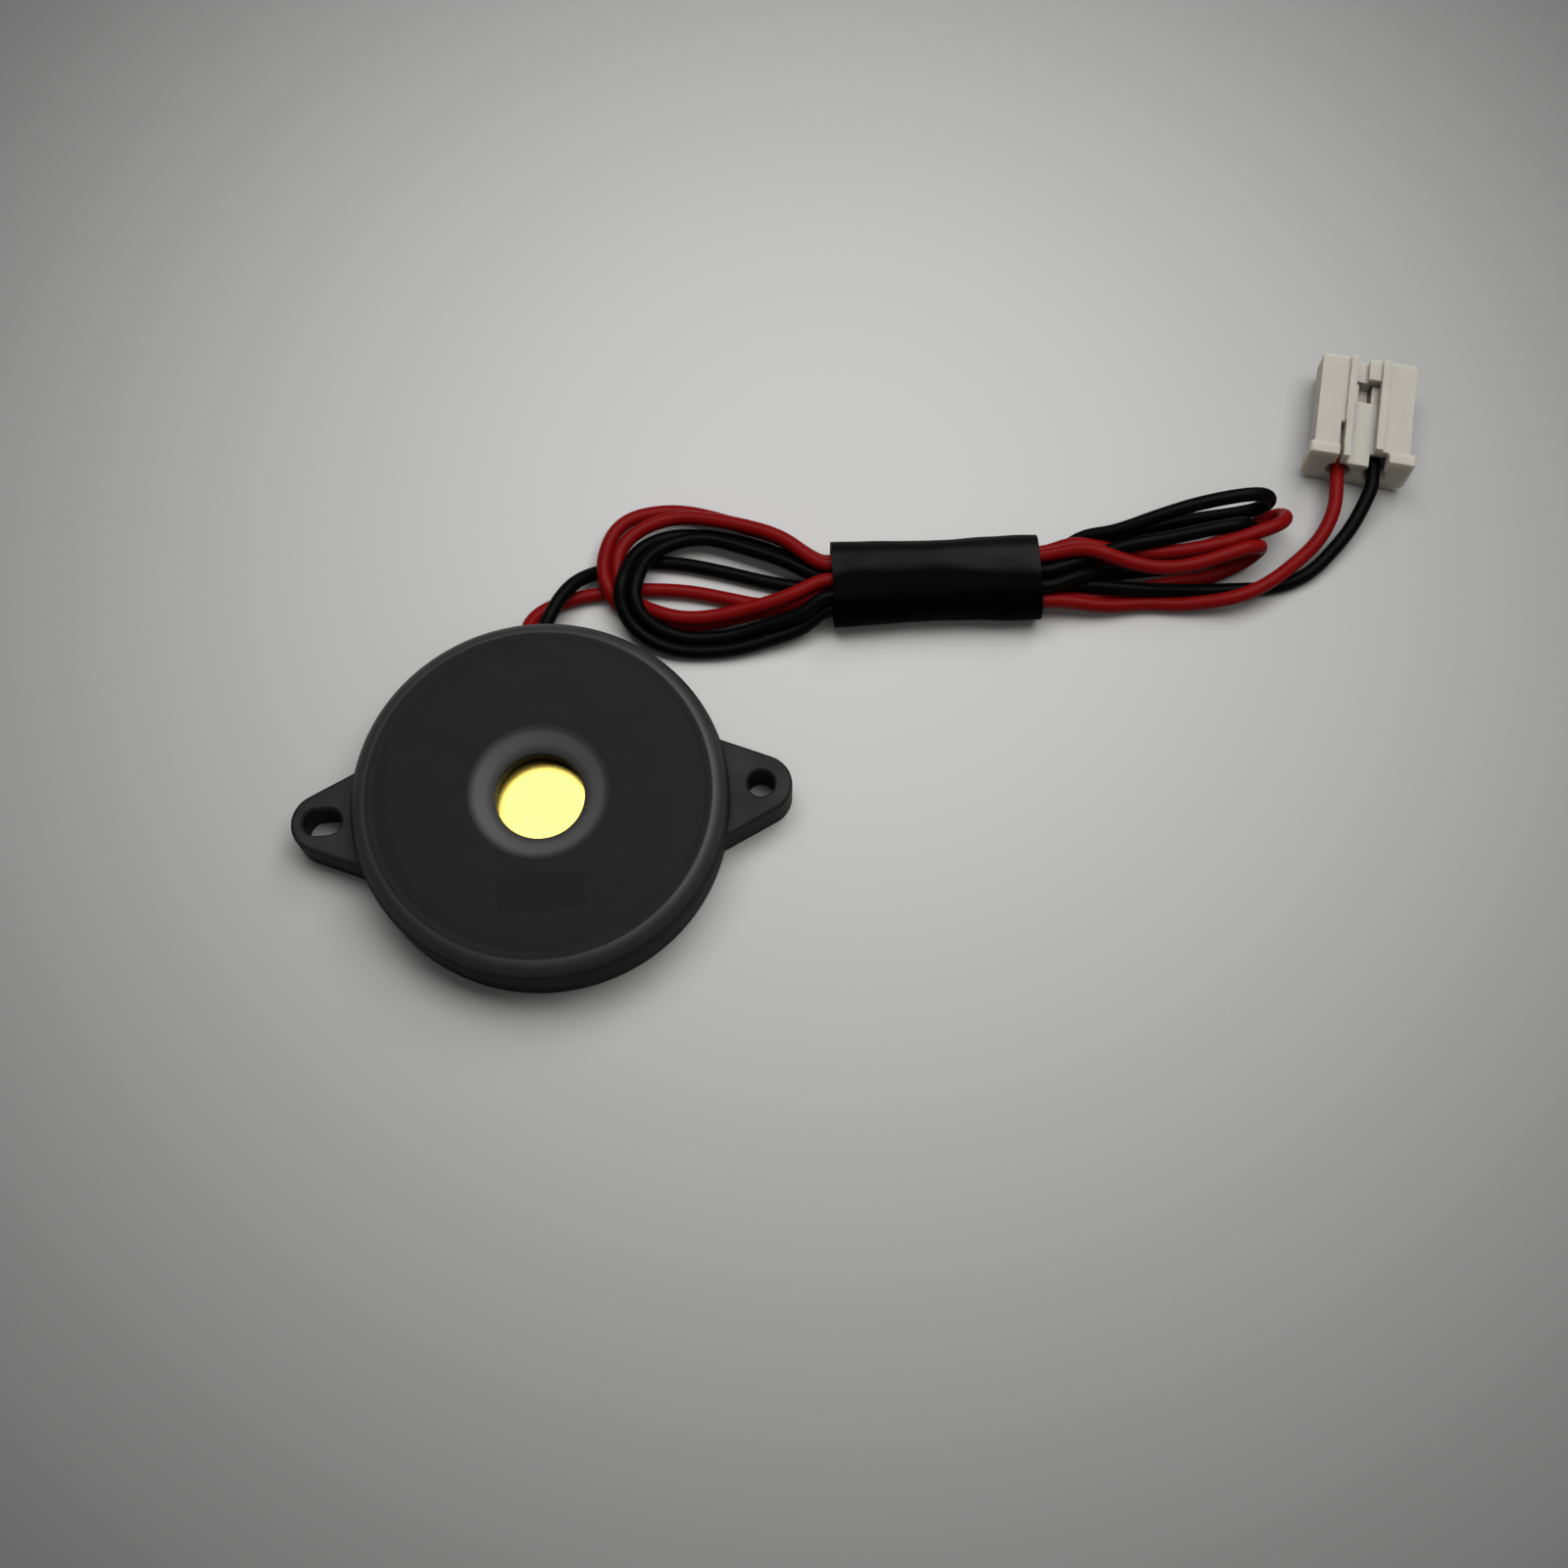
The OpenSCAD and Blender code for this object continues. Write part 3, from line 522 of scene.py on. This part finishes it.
def fired_ceramic(name):
    """Fired piezo ceramic: chalky, faintly clouded."""
    sh = Shader(name, Specular_IOR_Level=0.4)
    speck = sh.grain(0.2, 3.0)
    cloud = sh.grain(2.0, 2.0)
    colour = sh.mix(cloud, srgb(214, 208, 190), srgb(226, 221, 206))
    return sh.set(Base_Color=colour, Roughness=0.55 + 0.15 * speck, Normal=sh.bump(speck, 0.01, 0.4))


def plated_metal(name, bright, dull, grain_size, rough):
    """A metal skin with clouds of a duller tone and a fine grain."""
    sh = Shader(name, Metallic=1.0)
    cloud = sh.grain(grain_size * 8, 3.0)
    grain = sh.grain(grain_size, 2.0)
    colour = sh.mix(cloud, bright, dull)
    return sh.set(Base_Color=colour, Roughness=rough + 0.12 * cloud + 0.06 * grain,
                  Normal=sh.bump(grain, grain_size * 0.1, 0.4))


def stranded_copper(name):
    """Tinned strands, seen as fine ridges."""
    sh = Shader(name, Metallic=1.0)
    ridges = sh.add("ShaderNodeTexWave", {"bands_direction": "DIAGONAL"},
                    {"Vector": sh.place(), "Scale": 900.0, "Distortion": 0.6, "Detail": 1.0}, "Fac")
    cloud = sh.grain(0.8, 2.0)
    colour = sh.mix(cloud, (0.72, 0.7, 0.67), (0.6, 0.52, 0.44))
    return sh.set(Base_Color=colour, Roughness=0.3 + 0.15 * cloud, Normal=sh.bump(ridges, 0.04, 0.6))


def cured_rubber(name, tone, sheen):
    """Silicone or sealant, laid by a nozzle and cured with a soft skin."""
    sh = Shader(name, Specular_IOR_Level=sheen)
    wave = sh.grain(0.9, 2.0)
    fine = sh.grain(0.15, 2.0)
    colour = sh.mix(wave, shade(tone, 0.85), shade(tone, 1.1))
    height = wave * 0.8 + fine * 0.2
    return sh.set(Base_Color=colour, Roughness=0.4 + 0.2 * wave, Normal=sh.bump(height, 0.06, 0.6))


def housing_nylon(name):
    """Natural crimp-housing nylon: warm white, waxy, a little light inside its thin walls."""
    sh = Shader(name, Specular_IOR_Level=0.3, Subsurface_Weight=0.7, Subsurface_Scale=0.0016,
                Subsurface_Radius=(1.0, 0.88, 0.74))
    cloud = sh.grain(2.0, 2.0)
    fine = sh.grain(0.12, 3.0, 0.6)
    colour = sh.mix(cloud, srgb(166, 162, 150), srgb(178, 174, 164))
    return sh.set(Base_Color=colour, Roughness=0.42 + 0.1 * cloud + 0.05 * fine,
                  Normal=sh.bump(fine, 0.012, 0.4))


MAKERS = {
    "black_case": lambda: case_plastic("case_plastic", srgb(30, 30, 30)),
    "red_insulation": lambda: insulation("red_insulation", srgb(115, 9, 10), 0.06),
    "black_insulation": lambda: insulation("black_insulation", srgb(6, 6, 7), 0.035),
    "sleeve": lambda: sleeve_film("sleeve_film"),
    "brass": lambda: brass_sheet("brass_sheet"),
    "ceramic": lambda: fired_ceramic("fired_ceramic"),
    "silver": lambda: plated_metal("fired_silver", (0.86, 0.85, 0.83), (0.7, 0.69, 0.67), 0.08, 0.35),
    "solder": lambda: plated_metal("solder", (0.75, 0.76, 0.78), (0.5, 0.5, 0.52), 0.2, 0.22),
    "tinned_copper": lambda: stranded_copper("tinned_strands"),
    "silicone": lambda: cured_rubber("silicone_bond", srgb(205, 207, 208), 0.5),
    "black_sealant": lambda: cured_rubber("black_sealant", srgb(24, 24, 25), 0.35),
    "ivory_housing": lambda: housing_nylon("housing_nylon"),
    "contact": lambda: plated_metal("tin_plate", (0.42, 0.4, 0.36), (0.3, 0.28, 0.25), 0.1, 0.55),
}
_made = {}


def finish_of(slot):
    """The material of one slot, made once."""
    if slot not in _made:
        _made[slot] = MAKERS[slot]()
    return _made[slot]


# ---- Meshes ----

def new_object(name, mesh):
    obj = bpy.data.objects.new(name, mesh)
    bpy.context.scene.collection.objects.link(obj)
    return obj


def mesh_of(name, points_mm, faces):
    mesh = bpy.data.meshes.new(name)
    mesh.from_pydata([tuple(c * MM for c in p) for p in points_mm], [], faces)
    mesh.update()
    return mesh


def outward(mesh):
    """Merges doubled points and turns every face outwards."""
    bm = bmesh.new()
    bm.from_mesh(mesh)
    bmesh.ops.remove_doubles(bm, verts=bm.verts, dist=1e-7)
    bmesh.ops.recalc_face_normals(bm, faces=bm.faces)
    bm.to_mesh(mesh)
    bm.free()


def smooth_by_angle(mesh, angle):
    """Smooth shading, but sharp where faces meet at more than that angle in degrees."""
    bm = bmesh.new()
    bm.from_mesh(mesh)
    for face in bm.faces:
        face.smooth = True
    for edge in bm.edges:
        edge.smooth = len(edge.link_faces) == 2 and edge.calc_face_angle(0) < math.radians(angle)
    bm.to_mesh(mesh)
    bm.free()


def applied(obj):
    """Turns an object's modifiers into its plain mesh."""
    graph = bpy.context.evaluated_depsgraph_get()
    mesh = bpy.data.meshes.new_from_object(obj.evaluated_get(graph))
    obj.modifiers.clear()
    if obj.type == "MESH":
        obj.data = mesh
        return obj
    made = new_object(obj.name + "_mesh", mesh)
    bpy.data.objects.remove(obj)
    return made


def copy_of_node(node, name, bevel=0.0, angle=30, segments=2):
    """A merged copy of a CAD node with its flat faces whole, its edges eased and its shading smooth."""
    weld, sliver = 2e-6, 1e-6
    flat_within, bevelled_over = math.radians(0.5), math.radians(40)
    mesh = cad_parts[node].data.copy()
    mesh.materials.clear()
    bm = bmesh.new()
    bm.from_mesh(mesh)
    bmesh.ops.remove_doubles(bm, verts=bm.verts, dist=weld)
    bmesh.ops.dissolve_degenerate(bm, edges=bm.edges, dist=sliver)
    bmesh.ops.dissolve_limit(bm, angle_limit=flat_within, verts=bm.verts, edges=bm.edges)
    bm.to_mesh(mesh)
    bm.free()
    smooth_by_angle(mesh, angle)
    obj = new_object(name, mesh)
    if bevel:
        cut = obj.modifiers.new("edges", "BEVEL")
        cut.width = bevel * MM
        cut.segments = segments
        cut.limit_method = "ANGLE"
        cut.angle_limit = bevelled_over
        cut.harden_normals = True
    weigh = obj.modifiers.new("normals", "WEIGHTED_NORMAL")
    weigh.keep_sharp = True
    return applied(obj)


def finish_piece(obj, slot, *nodes, material=None):
    """Gives a piece the material of its slot, puts it on its body and hides the CAD nodes that it stands for.
    """
    obj.data.materials.clear()
    obj.data.materials.append(finish_of(material or slot))
    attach(obj, BODY)
    if nodes:
        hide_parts(*nodes)
    return obj


def dress_node(node, slot, material=None):
    """Gives a CAD node that stays its material."""
    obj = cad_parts[node]
    obj.data.materials.clear()
    obj.data.materials.append(finish_of(material or slot))


def wire_tree():
    """Geometry Nodes that draw a round wire along a curve."""
    tree = bpy.data.node_groups.new("wire_along_a_line", "GeometryNodeTree")
    face = tree.interface
    face.new_socket("Line", in_out="INPUT", socket_type="NodeSocketGeometry")
    face.new_socket("Radius", in_out="INPUT", socket_type="NodeSocketFloat")
    face.new_socket("Sides", in_out="INPUT", socket_type="NodeSocketInt")
    face.new_socket("Material", in_out="INPUT", socket_type="NodeSocketMaterial")
    face.new_socket("Wire", in_out="OUTPUT", socket_type="NodeSocketGeometry")
    nodes, link = tree.nodes, tree.links.new
    into, out = nodes.new("NodeGroupInput"), nodes.new("NodeGroupOutput")
    circle = nodes.new("GeometryNodeCurvePrimitiveCircle")
    tube = nodes.new("GeometryNodeCurveToMesh")
    tube.inputs["Fill Caps"].default_value = True
    soft = nodes.new("GeometryNodeSetShadeSmooth")
    real = nodes.new("GeometryNodeRealizeInstances")
    paint = nodes.new("GeometryNodeSetMaterial")
    link(into.outputs["Line"], tube.inputs["Curve"])
    link(into.outputs["Sides"], circle.inputs["Resolution"])
    link(into.outputs["Radius"], circle.inputs["Radius"])
    link(circle.outputs["Curve"], tube.inputs["Profile Curve"])
    link(tube.outputs["Mesh"], soft.inputs["Geometry"])
    link(soft.outputs["Geometry"], real.inputs["Geometry"])
    link(real.outputs["Geometry"], paint.inputs["Geometry"])
    link(into.outputs["Material"], paint.inputs["Material"])
    link(paint.outputs["Geometry"], out.inputs["Wire"])
    return tree


def set_inputs(modifier, tree, **values):
    """Sets a Geometry Nodes modifier's inputs by the identifiers of their sockets."""
    for item in tree.interface.items_tree:
        if item.in_out == "INPUT" and item.name in values:
            modifier[item.identifier] = values[item.name]


def wire_along(name, line_mm, radius_mm, sides, material, tree):
    """A wire's mesh along a line."""
    curve = bpy.data.curves.new(name, "CURVE")
    curve.dimensions = "3D"
    spline = curve.splines.new("POLY")
    spline.points.add(len(line_mm) - 1)
    for point, place in zip(spline.points, line_mm):
        point.co = (*(float(c) * MM for c in place), 1)
    obj = new_object(name + "_line", curve)
    modifier = obj.modifiers.new("wire", "NODES")
    modifier.node_group = tree
    set_inputs(modifier, tree, Radius=radius_mm * MM, Sides=sides, Material=material)
    made = applied(obj)
    made.name = name
    made.data.name = name
    outward(made.data)
    smooth_by_angle(made.data, 60)
    return made


def lathe(name, profile, steps):
    """A closed solid turned about Z from a closed outline of (radius, height) points."""
    turn = [2 * math.pi * k / steps for k in range(steps)]
    points = [(r * math.cos(a), r * math.sin(a), z) for a in turn for r, z in profile]
    n = len(profile)
    faces = [(k * n + i, ((k + 1) % steps) * n + i, ((k + 1) % steps) * n + (i + 1) % n, k * n + (i + 1) % n)
             for k in range(steps) for i in range(n)]
    mesh = mesh_of(name, points, faces)
    outward(mesh)
    return mesh


def arc(centre, radius, start, end, steps):
    """Points of an arc, with angles in degrees."""
    return [(centre[0] + radius * math.cos(math.radians(start + (end - start) * k / steps)),
             centre[1] + radius * math.sin(math.radians(start + (end - start) * k / steps)))
            for k in range(steps + 1)]


# ---- Settings ----

class CordSettings(bpy.types.PropertyGroup):
    diameter: bpy.props.FloatProperty(
        name="Wire diameter", description="Diameter over the insulation", default=1.0 * MM,
        min=0.8 * MM, max=1.2 * MM, subtype="DISTANCE", unit="LENGTH")
    red_length: bpy.props.FloatProperty(
        name="Red wire length", description="Real length of the red wire", default=0.275,
        subtype="DISTANCE", unit="LENGTH")
    black_length: bpy.props.FloatProperty(
        name="Black wire length", description="Real length of the black wire", default=0.268,
        subtype="DISTANCE", unit="LENGTH")
    sides: bpy.props.IntProperty(
        name="Sides", description="Sides of each wire's section", default=20, min=8, max=32)


class SleeveSettings(bpy.types.PropertyGroup):
    width: bpy.props.FloatProperty(
        name="Width", description="Width of the sleeve over its film", default=6.1 * MM,
        subtype="DISTANCE", unit="LENGTH")
    height: bpy.props.FloatProperty(
        name="Height", description="Height of the sleeve over its film", default=3.4 * MM,
        subtype="DISTANCE", unit="LENGTH")
    film: bpy.props.FloatProperty(
        name="Film thickness", description="Thickness of the film", default=0.3 * MM,
        subtype="DISTANCE", unit="LENGTH")
    creases: bpy.props.FloatProperty(
        name="Creases", description="Depth of the film's creases", default=0.13 * MM,
        subtype="DISTANCE", unit="LENGTH")


class CaseSettings(bpy.types.PropertyGroup):
    edge: bpy.props.FloatProperty(
        name="Edge radius", description="Radius of the rounded edge around the front face",
        default=1.35 * MM, subtype="DISTANCE", unit="LENGTH")
    steps: bpy.props.IntProperty(
        name="Steps round", description="Steps of the turned front case", default=192, min=64, max=256)


class StageSettings(bpy.types.PropertyGroup):
    # Painted light: the floor colour is the lit middle of a painted pool of light, the corner colour its
    # painted shade.
    floor: bpy.props.FloatVectorProperty(
        name="Floor colour", description="Colour of the floor under the part", subtype="COLOR",
        default=srgb(200, 200, 199))
    shaded_corner: bpy.props.FloatVectorProperty(
        name="Corner colour", description="Colour of the floor well away from the part", subtype="COLOR",
        default=srgb(92, 92, 92))


# ---- Operators ----

def set_camera():
    """A long lens over the part, tipped to look down on it from the front."""
    camera = bpy.data.cameras.new("camera")
    camera.lens = CAMERA_LENS
    camera.sensor_width = CAMERA_SENSOR
    camera.clip_start = 0.005
    camera.clip_end = 5
    obj = new_object("camera", camera)
    back = Vector(line_of_sight())
    right = Vector((math.cos(CAMERA_AZ), math.sin(CAMERA_AZ), 0))
    turn = Matrix((right, back.cross(right), back)).transposed().to_4x4()
    obj.matrix_world = Matrix.Translation(Vector(CAMERA_AT) * MM) @ turn
    bpy.context.scene.camera = obj


class BUZZER_OT_cords(bpy.types.Operator):
    """Lays the two full-length wires from the case through the hank into the connector"""
    bl_idname = "buzzer.cords"
    bl_label = "Lay the wires"

    def execute(self, context):
        settings = context.scene.buzzer_cords
        d = settings.diameter / MM
        tree = wire_tree()
        routes = {"red": red_route(), "black": black_route()}
        for colour, line in zip(routes, settle(list(routes.values()), d)):
            slot = colour + "_insulation"
            wire = wire_along(colour + "_wire", line, d / 2, settings.sides, finish_of(slot), tree)
            finish_piece(wire, slot, colour + "_lead", "wire_hank", colour + "_tail")
            (line * MM).tolist()
        return {"FINISHED"}


class BUZZER_OT_cord_ends(bpy.types.Operator):
    """Looks up each wire's exit place, length and the pieces on it, and does nothing more with them"""
    bl_idname = "buzzer.cord_ends"
    bl_label = "Tie the wires to their ends"

    def execute(self, context):
        settings = context.scene.buzzer_cords
        on_both = [bpy.data.objects[name] for name in
                   ("crimp_housing", "red_crimp_contact", "black_crimp_contact")]
        sleeve = bpy.data.objects["sleeve"]
        ends = {"red": (-LEAD_X, settings.red_length, [sleeve, *on_both]),
                "black": (LEAD_X, settings.black_length, on_both)}
        for colour, (exit_x, length, pieces) in ends.items():
            exit_x * MM
        return {"FINISHED"}


def sleeve_section(width, height, count):
    """Points of a flattened round outline, evenly spread, centred on its middle."""
    half, r = (width - height) / 2, height / 2
    round_length, flat = math.pi * r, 2 * half
    total = 2 * (round_length + flat)
    points = []
    for k in range(count):
        s = total * k / count
        if s < round_length:
            a = -math.pi / 2 + s / r
            points.append((half + r * math.cos(a), r * math.sin(a)))
        elif s < round_length + flat:
            points.append((half - (s - round_length), r))
        elif s < 2 * round_length + flat:
            a = math.pi / 2 + (s - round_length - flat) / r
            points.append((-half + r * math.cos(a), r * math.sin(a)))
        else:
            points.append((-half + (s - 2 * round_length - flat), -r))
    return points


def film_folds(x, y, z):
    """How far the film stands out or in at one place, as a share of its creases: long folds and fine ones."""
    fold = noise.noise(Vector((x * 0.2, y * 0.55, z * 0.7 + 4.0)))
    fine = noise.noise(Vector((x * 0.5 + 9, y * 1.1, z * 1.1)))
    return 0.9 * fold + 0.3 * fine


class BUZZER_OT_sleeve(bpy.types.Operator):
    """Makes the creased sleeve that holds the folded wires"""
    bl_idname = "buzzer.sleeve"
    bl_label = "Make the sleeve"

    def execute(self, context):
        settings = context.scene.buzzer_sleeve
        width, height = settings.width / MM, settings.height / MM
        film, creases = settings.film / MM, settings.creases / MM
        rings, count = 97, 88
        end_width, waist, crown_height = 1.035, 0.055, 0.28
        shrunk, rests_below, resting_give = 0.6, 0.3 - height / 2, 0.3
        outline = sleeve_section(width, height, count)
        skins = []
        for inset in (0, film):
            skin = []
            for i in range(rings):
                share = i / (rings - 1)
                x = SLEEVE_HALF * (2 * share - 1)
                wide = end_width - waist * math.sin(math.pi * share)**2
                for y, z in outline:
                    r = math.hypot(y, z)
                    out_y, out_z = y / r, z / r
                    crown = crown_height * max(0, 1 - (y * 2 / width)**2) if z > 0 else 0
                    give = creases * (film_folds(x, y, z) - shrunk) + crown
                    if z <= rests_below:
                        give = min(0, give) * resting_give
                    skin.append((x, y * wide + out_y * (give - inset),
                                 height / 2 + z + out_z * (give - inset)))
            skins.append(from_hank(skin))
        points = skins[0] + skins[1]
        inside = rings * count
        faces = []
        for i in range(rings - 1):
            for k in range(count):
                a, b = i * count + k, i * count + (k + 1) % count
                faces.append((a, b, b + count, a + count))
                faces.append((inside + a, inside + a + count, inside + b + count, inside + b))
        for i in (0, rings - 1):
            for k in range(count):
                a, b = i * count + k, i * count + (k + 1) % count
                rim = (a, inside + a, inside + b, b)
                faces.append(rim if i == 0 else rim[::-1])
        mesh = mesh_of("sleeve", points, faces)
        outward(mesh)
        smooth_by_angle(mesh, 50)
        finish_piece(new_object("sleeve", mesh), "sleeve", "hank_sleeve")
        return {"FINISHED"}


class BUZZER_OT_case(bpy.types.Operator):
    """Makes the turned front case with its dished sound port, and the rear case with both ears"""
    bl_idname = "buzzer.case"
    bl_label = "Make the case"

    def execute(self, context):
        settings = context.scene.buzzer_case
        edge = settings.edge / MM
        spigot_r, spigot_t, spigot_z, face_z = 11.3, 0.7, 2.2, CASE_H - 1.2
        port_r, rim_z, collar_z, dish_r, collar_r = 2.95, 4.1, 3.2, 4.55, 5.35
        slope = math.atan2(CASE_H - rim_z, dish_r - port_r)
        soft = min(0.6, (dish_r - port_r) / 3, (CASE_H - rim_z) / 3)
        outside = dish_r + soft * math.tan(slope / 2)
        lip = 0.06
        groove_depth, groove_in, groove_out = 0.04, (10.68, 10.82), (10.92, 11.05)
        profile = [(port_r, collar_z), (port_r, rim_z - lip)]
        profile += [(port_r + lip * 0.6, rim_z + lip * 0.8)]
        profile += arc((outside, CASE_H - soft), soft, 90 + math.degrees(slope), 90, 10)
        profile += [(r, CASE_H) for r in (6, 8, 9.5, groove_in[0])]
        profile += [(r, CASE_H - groove_depth) for r in (groove_in[1], groove_out[0])]
        profile += [(groove_out[1], CASE_H)]
        profile += arc((CASE_R - edge, CASE_H - edge), edge, 90, 0, 16)
        profile += [(CASE_R, SEAM_Z + lip), (CASE_R - lip, SEAM_Z), (spigot_r, SEAM_Z), (spigot_r, spigot_z),
                    (spigot_r - spigot_t, spigot_z), (spigot_r - spigot_t, face_z), (collar_r, face_z),
                    (collar_r, collar_z)]
        mesh = lathe("front_case_turned", profile, settings.steps)
        smooth_by_angle(mesh, 28)
        front = new_object("front_case_turned", mesh)
        weigh = front.modifiers.new("normals", "WEIGHTED_NORMAL")
        weigh.keep_sharp = True
        finish_piece(applied(front), "black_case", "front_case")
        finish_piece(copy_of_node("rear_case", "rear_case_moulded", 0.05), "black_case", "rear_case")
        return {"FINISHED"}


class BUZZER_OT_connector(bpy.types.Operator):
    """Makes the crimp housing and its two contacts, with their edges eased"""
    bl_idname = "buzzer.connector"
    bl_label = "Make the connector"

    def execute(self, context):
        finish_piece(copy_of_node("connector_housing", "crimp_housing", 0.09, segments=3), "ivory_housing",
                     "connector_housing")
        for colour in ("red", "black"):
            finish_piece(copy_of_node(colour + "_contact", colour + "_crimp_contact", 0.05),
                         "tinned_copper", colour + "_contact", material="contact")
        return {"FINISHED"}


class BUZZER_OT_sounder(bpy.types.Operator):
    """Gives the pieces of the sounder inside the case their finishes"""
    bl_idname = "buzzer.sounder"
    bl_label = "Finish the sounder"

    def execute(self, context):
        for node, slot in (
                ("brass_diaphragm", "brass"), ("piezo_ceramic", "ceramic"), ("silver_electrode", "silver"),
                ("bonding_ring", "silicone"), ("red_solder_joint", "solder"),
                ("black_solder_joint", "solder"), ("red_core", "tinned_copper"),
                ("black_core", "tinned_copper"), ("lead_seal", "black_sealant")):
            dress_node(node, slot)
        return {"FINISHED"}


def add_area(name, place, size, power):
    """A rectangular lamp that looks at the middle of the part."""
    light = bpy.data.lights.new(name, "AREA")
    light.shape = "RECTANGLE"
    light.size, light.size_y = size
    light.energy = power
    obj = new_object(name, light)
    obj.location = place
    obj.rotation_mode = "QUATERNION"
    obj.rotation_quaternion = (Vector(LAMP_AIM) - Vector(place)).to_track_quat("-Z", "Y")


def floor_material(lit_inner, shaded_outer):
    """Matt card, with a painted pool of light: lightest near the part and darker away from it."""
    sh = Shader("floor", Specular_IOR_Level=0.1, Roughness=0.9)
    x, y, _ = sh.axes(sh.place())
    out_x = (x - LIGHT_POOL_CENTRE[0]) / LIGHT_POOL_REACH[0]
    out_y = (y - LIGHT_POOL_CENTRE[1]) / LIGHT_POOL_REACH[1]
    # Painted pool of light: the floor is coloured lightest near the part and darker, as painted shade, away
    # from it.
    away = sh.between((out_x * out_x + out_y * out_y) ** 0.5, 0.0, 1.25)
    paper = sh.grain(0.4, 2.0)
    return sh.set(Base_Color=sh.mix(away, tuple(lit_inner), tuple(shaded_outer)), Normal=sh.bump(paper, 0.01, 0.1))


class BUZZER_OT_stage(bpy.types.Operator):
    """Sets the floor, the soft lights and the plain sky"""
    bl_idname = "buzzer.stage"
    bl_label = "Set the stage"

    def execute(self, context):
        settings = context.scene.buzzer_stage
        reach = 1500
        mesh = mesh_of("floor", [(-reach, -reach, 0), (reach, -reach, 0), (reach, reach, 0),
                                 (-reach, reach, 0)], [(0, 1, 2, 3)])
        floor = new_object("floor", mesh)
        mesh.materials.append(floor_material(settings.floor, settings.shaded_corner))
        for lamp in LAMPS:
            add_area(*lamp)
        world = bpy.data.worlds.new("sky")
        world.use_nodes = True
        sky = world.node_tree.nodes["Background"]
        sky.inputs["Color"].default_value = (1, 1, 1, 1)
        sky.inputs["Strength"].default_value = SKY_LIGHT
        context.scene.world = world
        return {"FINISHED"}


class BUZZER_PT_panel(bpy.types.Panel):
    """Lists the pieces of the buzzer that can be made"""
    bl_idname = "BUZZER_PT_panel"
    bl_label = "Buzzer"
    bl_space_type = "VIEW_3D"
    bl_region_type = "UI"
    bl_category = "Buzzer"

    def draw(self, context):
        for group in (context.scene.buzzer_cords, context.scene.buzzer_sleeve, context.scene.buzzer_case,
                      context.scene.buzzer_stage):
            for name in group.__annotations__:
                self.layout.prop(group, name)
        for operator in STEPS:
            self.layout.operator("buzzer." + operator)


GROUPS = {"buzzer_cords": CordSettings, "buzzer_sleeve": SleeveSettings, "buzzer_case": CaseSettings,
          "buzzer_stage": StageSettings}
CLASSES = [*GROUPS.values(), BUZZER_OT_cords, BUZZER_OT_sleeve, BUZZER_OT_case, BUZZER_OT_connector,
           BUZZER_OT_cord_ends, BUZZER_OT_sounder, BUZZER_OT_stage, BUZZER_PT_panel]
STEPS = ["cords", "sleeve", "case", "connector", "cord_ends", "sounder", "stage"]


def register():
    for cls in CLASSES:
        bpy.utils.register_class(cls)
    for name, group in GROUPS.items():
        setattr(bpy.types.Scene, name, bpy.props.PointerProperty(type=group))


def unregister():
    for name in GROUPS:
        delattr(bpy.types.Scene, name)
    for cls in reversed(CLASSES):
        bpy.utils.unregister_class(cls)


def main():
    register()
    scene = bpy.context.scene
    scene.view_settings.view_transform = "Standard"
    set_camera()
    for step in STEPS:
        getattr(bpy.ops.buzzer, step)()


if __name__ == "__main__":
    main()
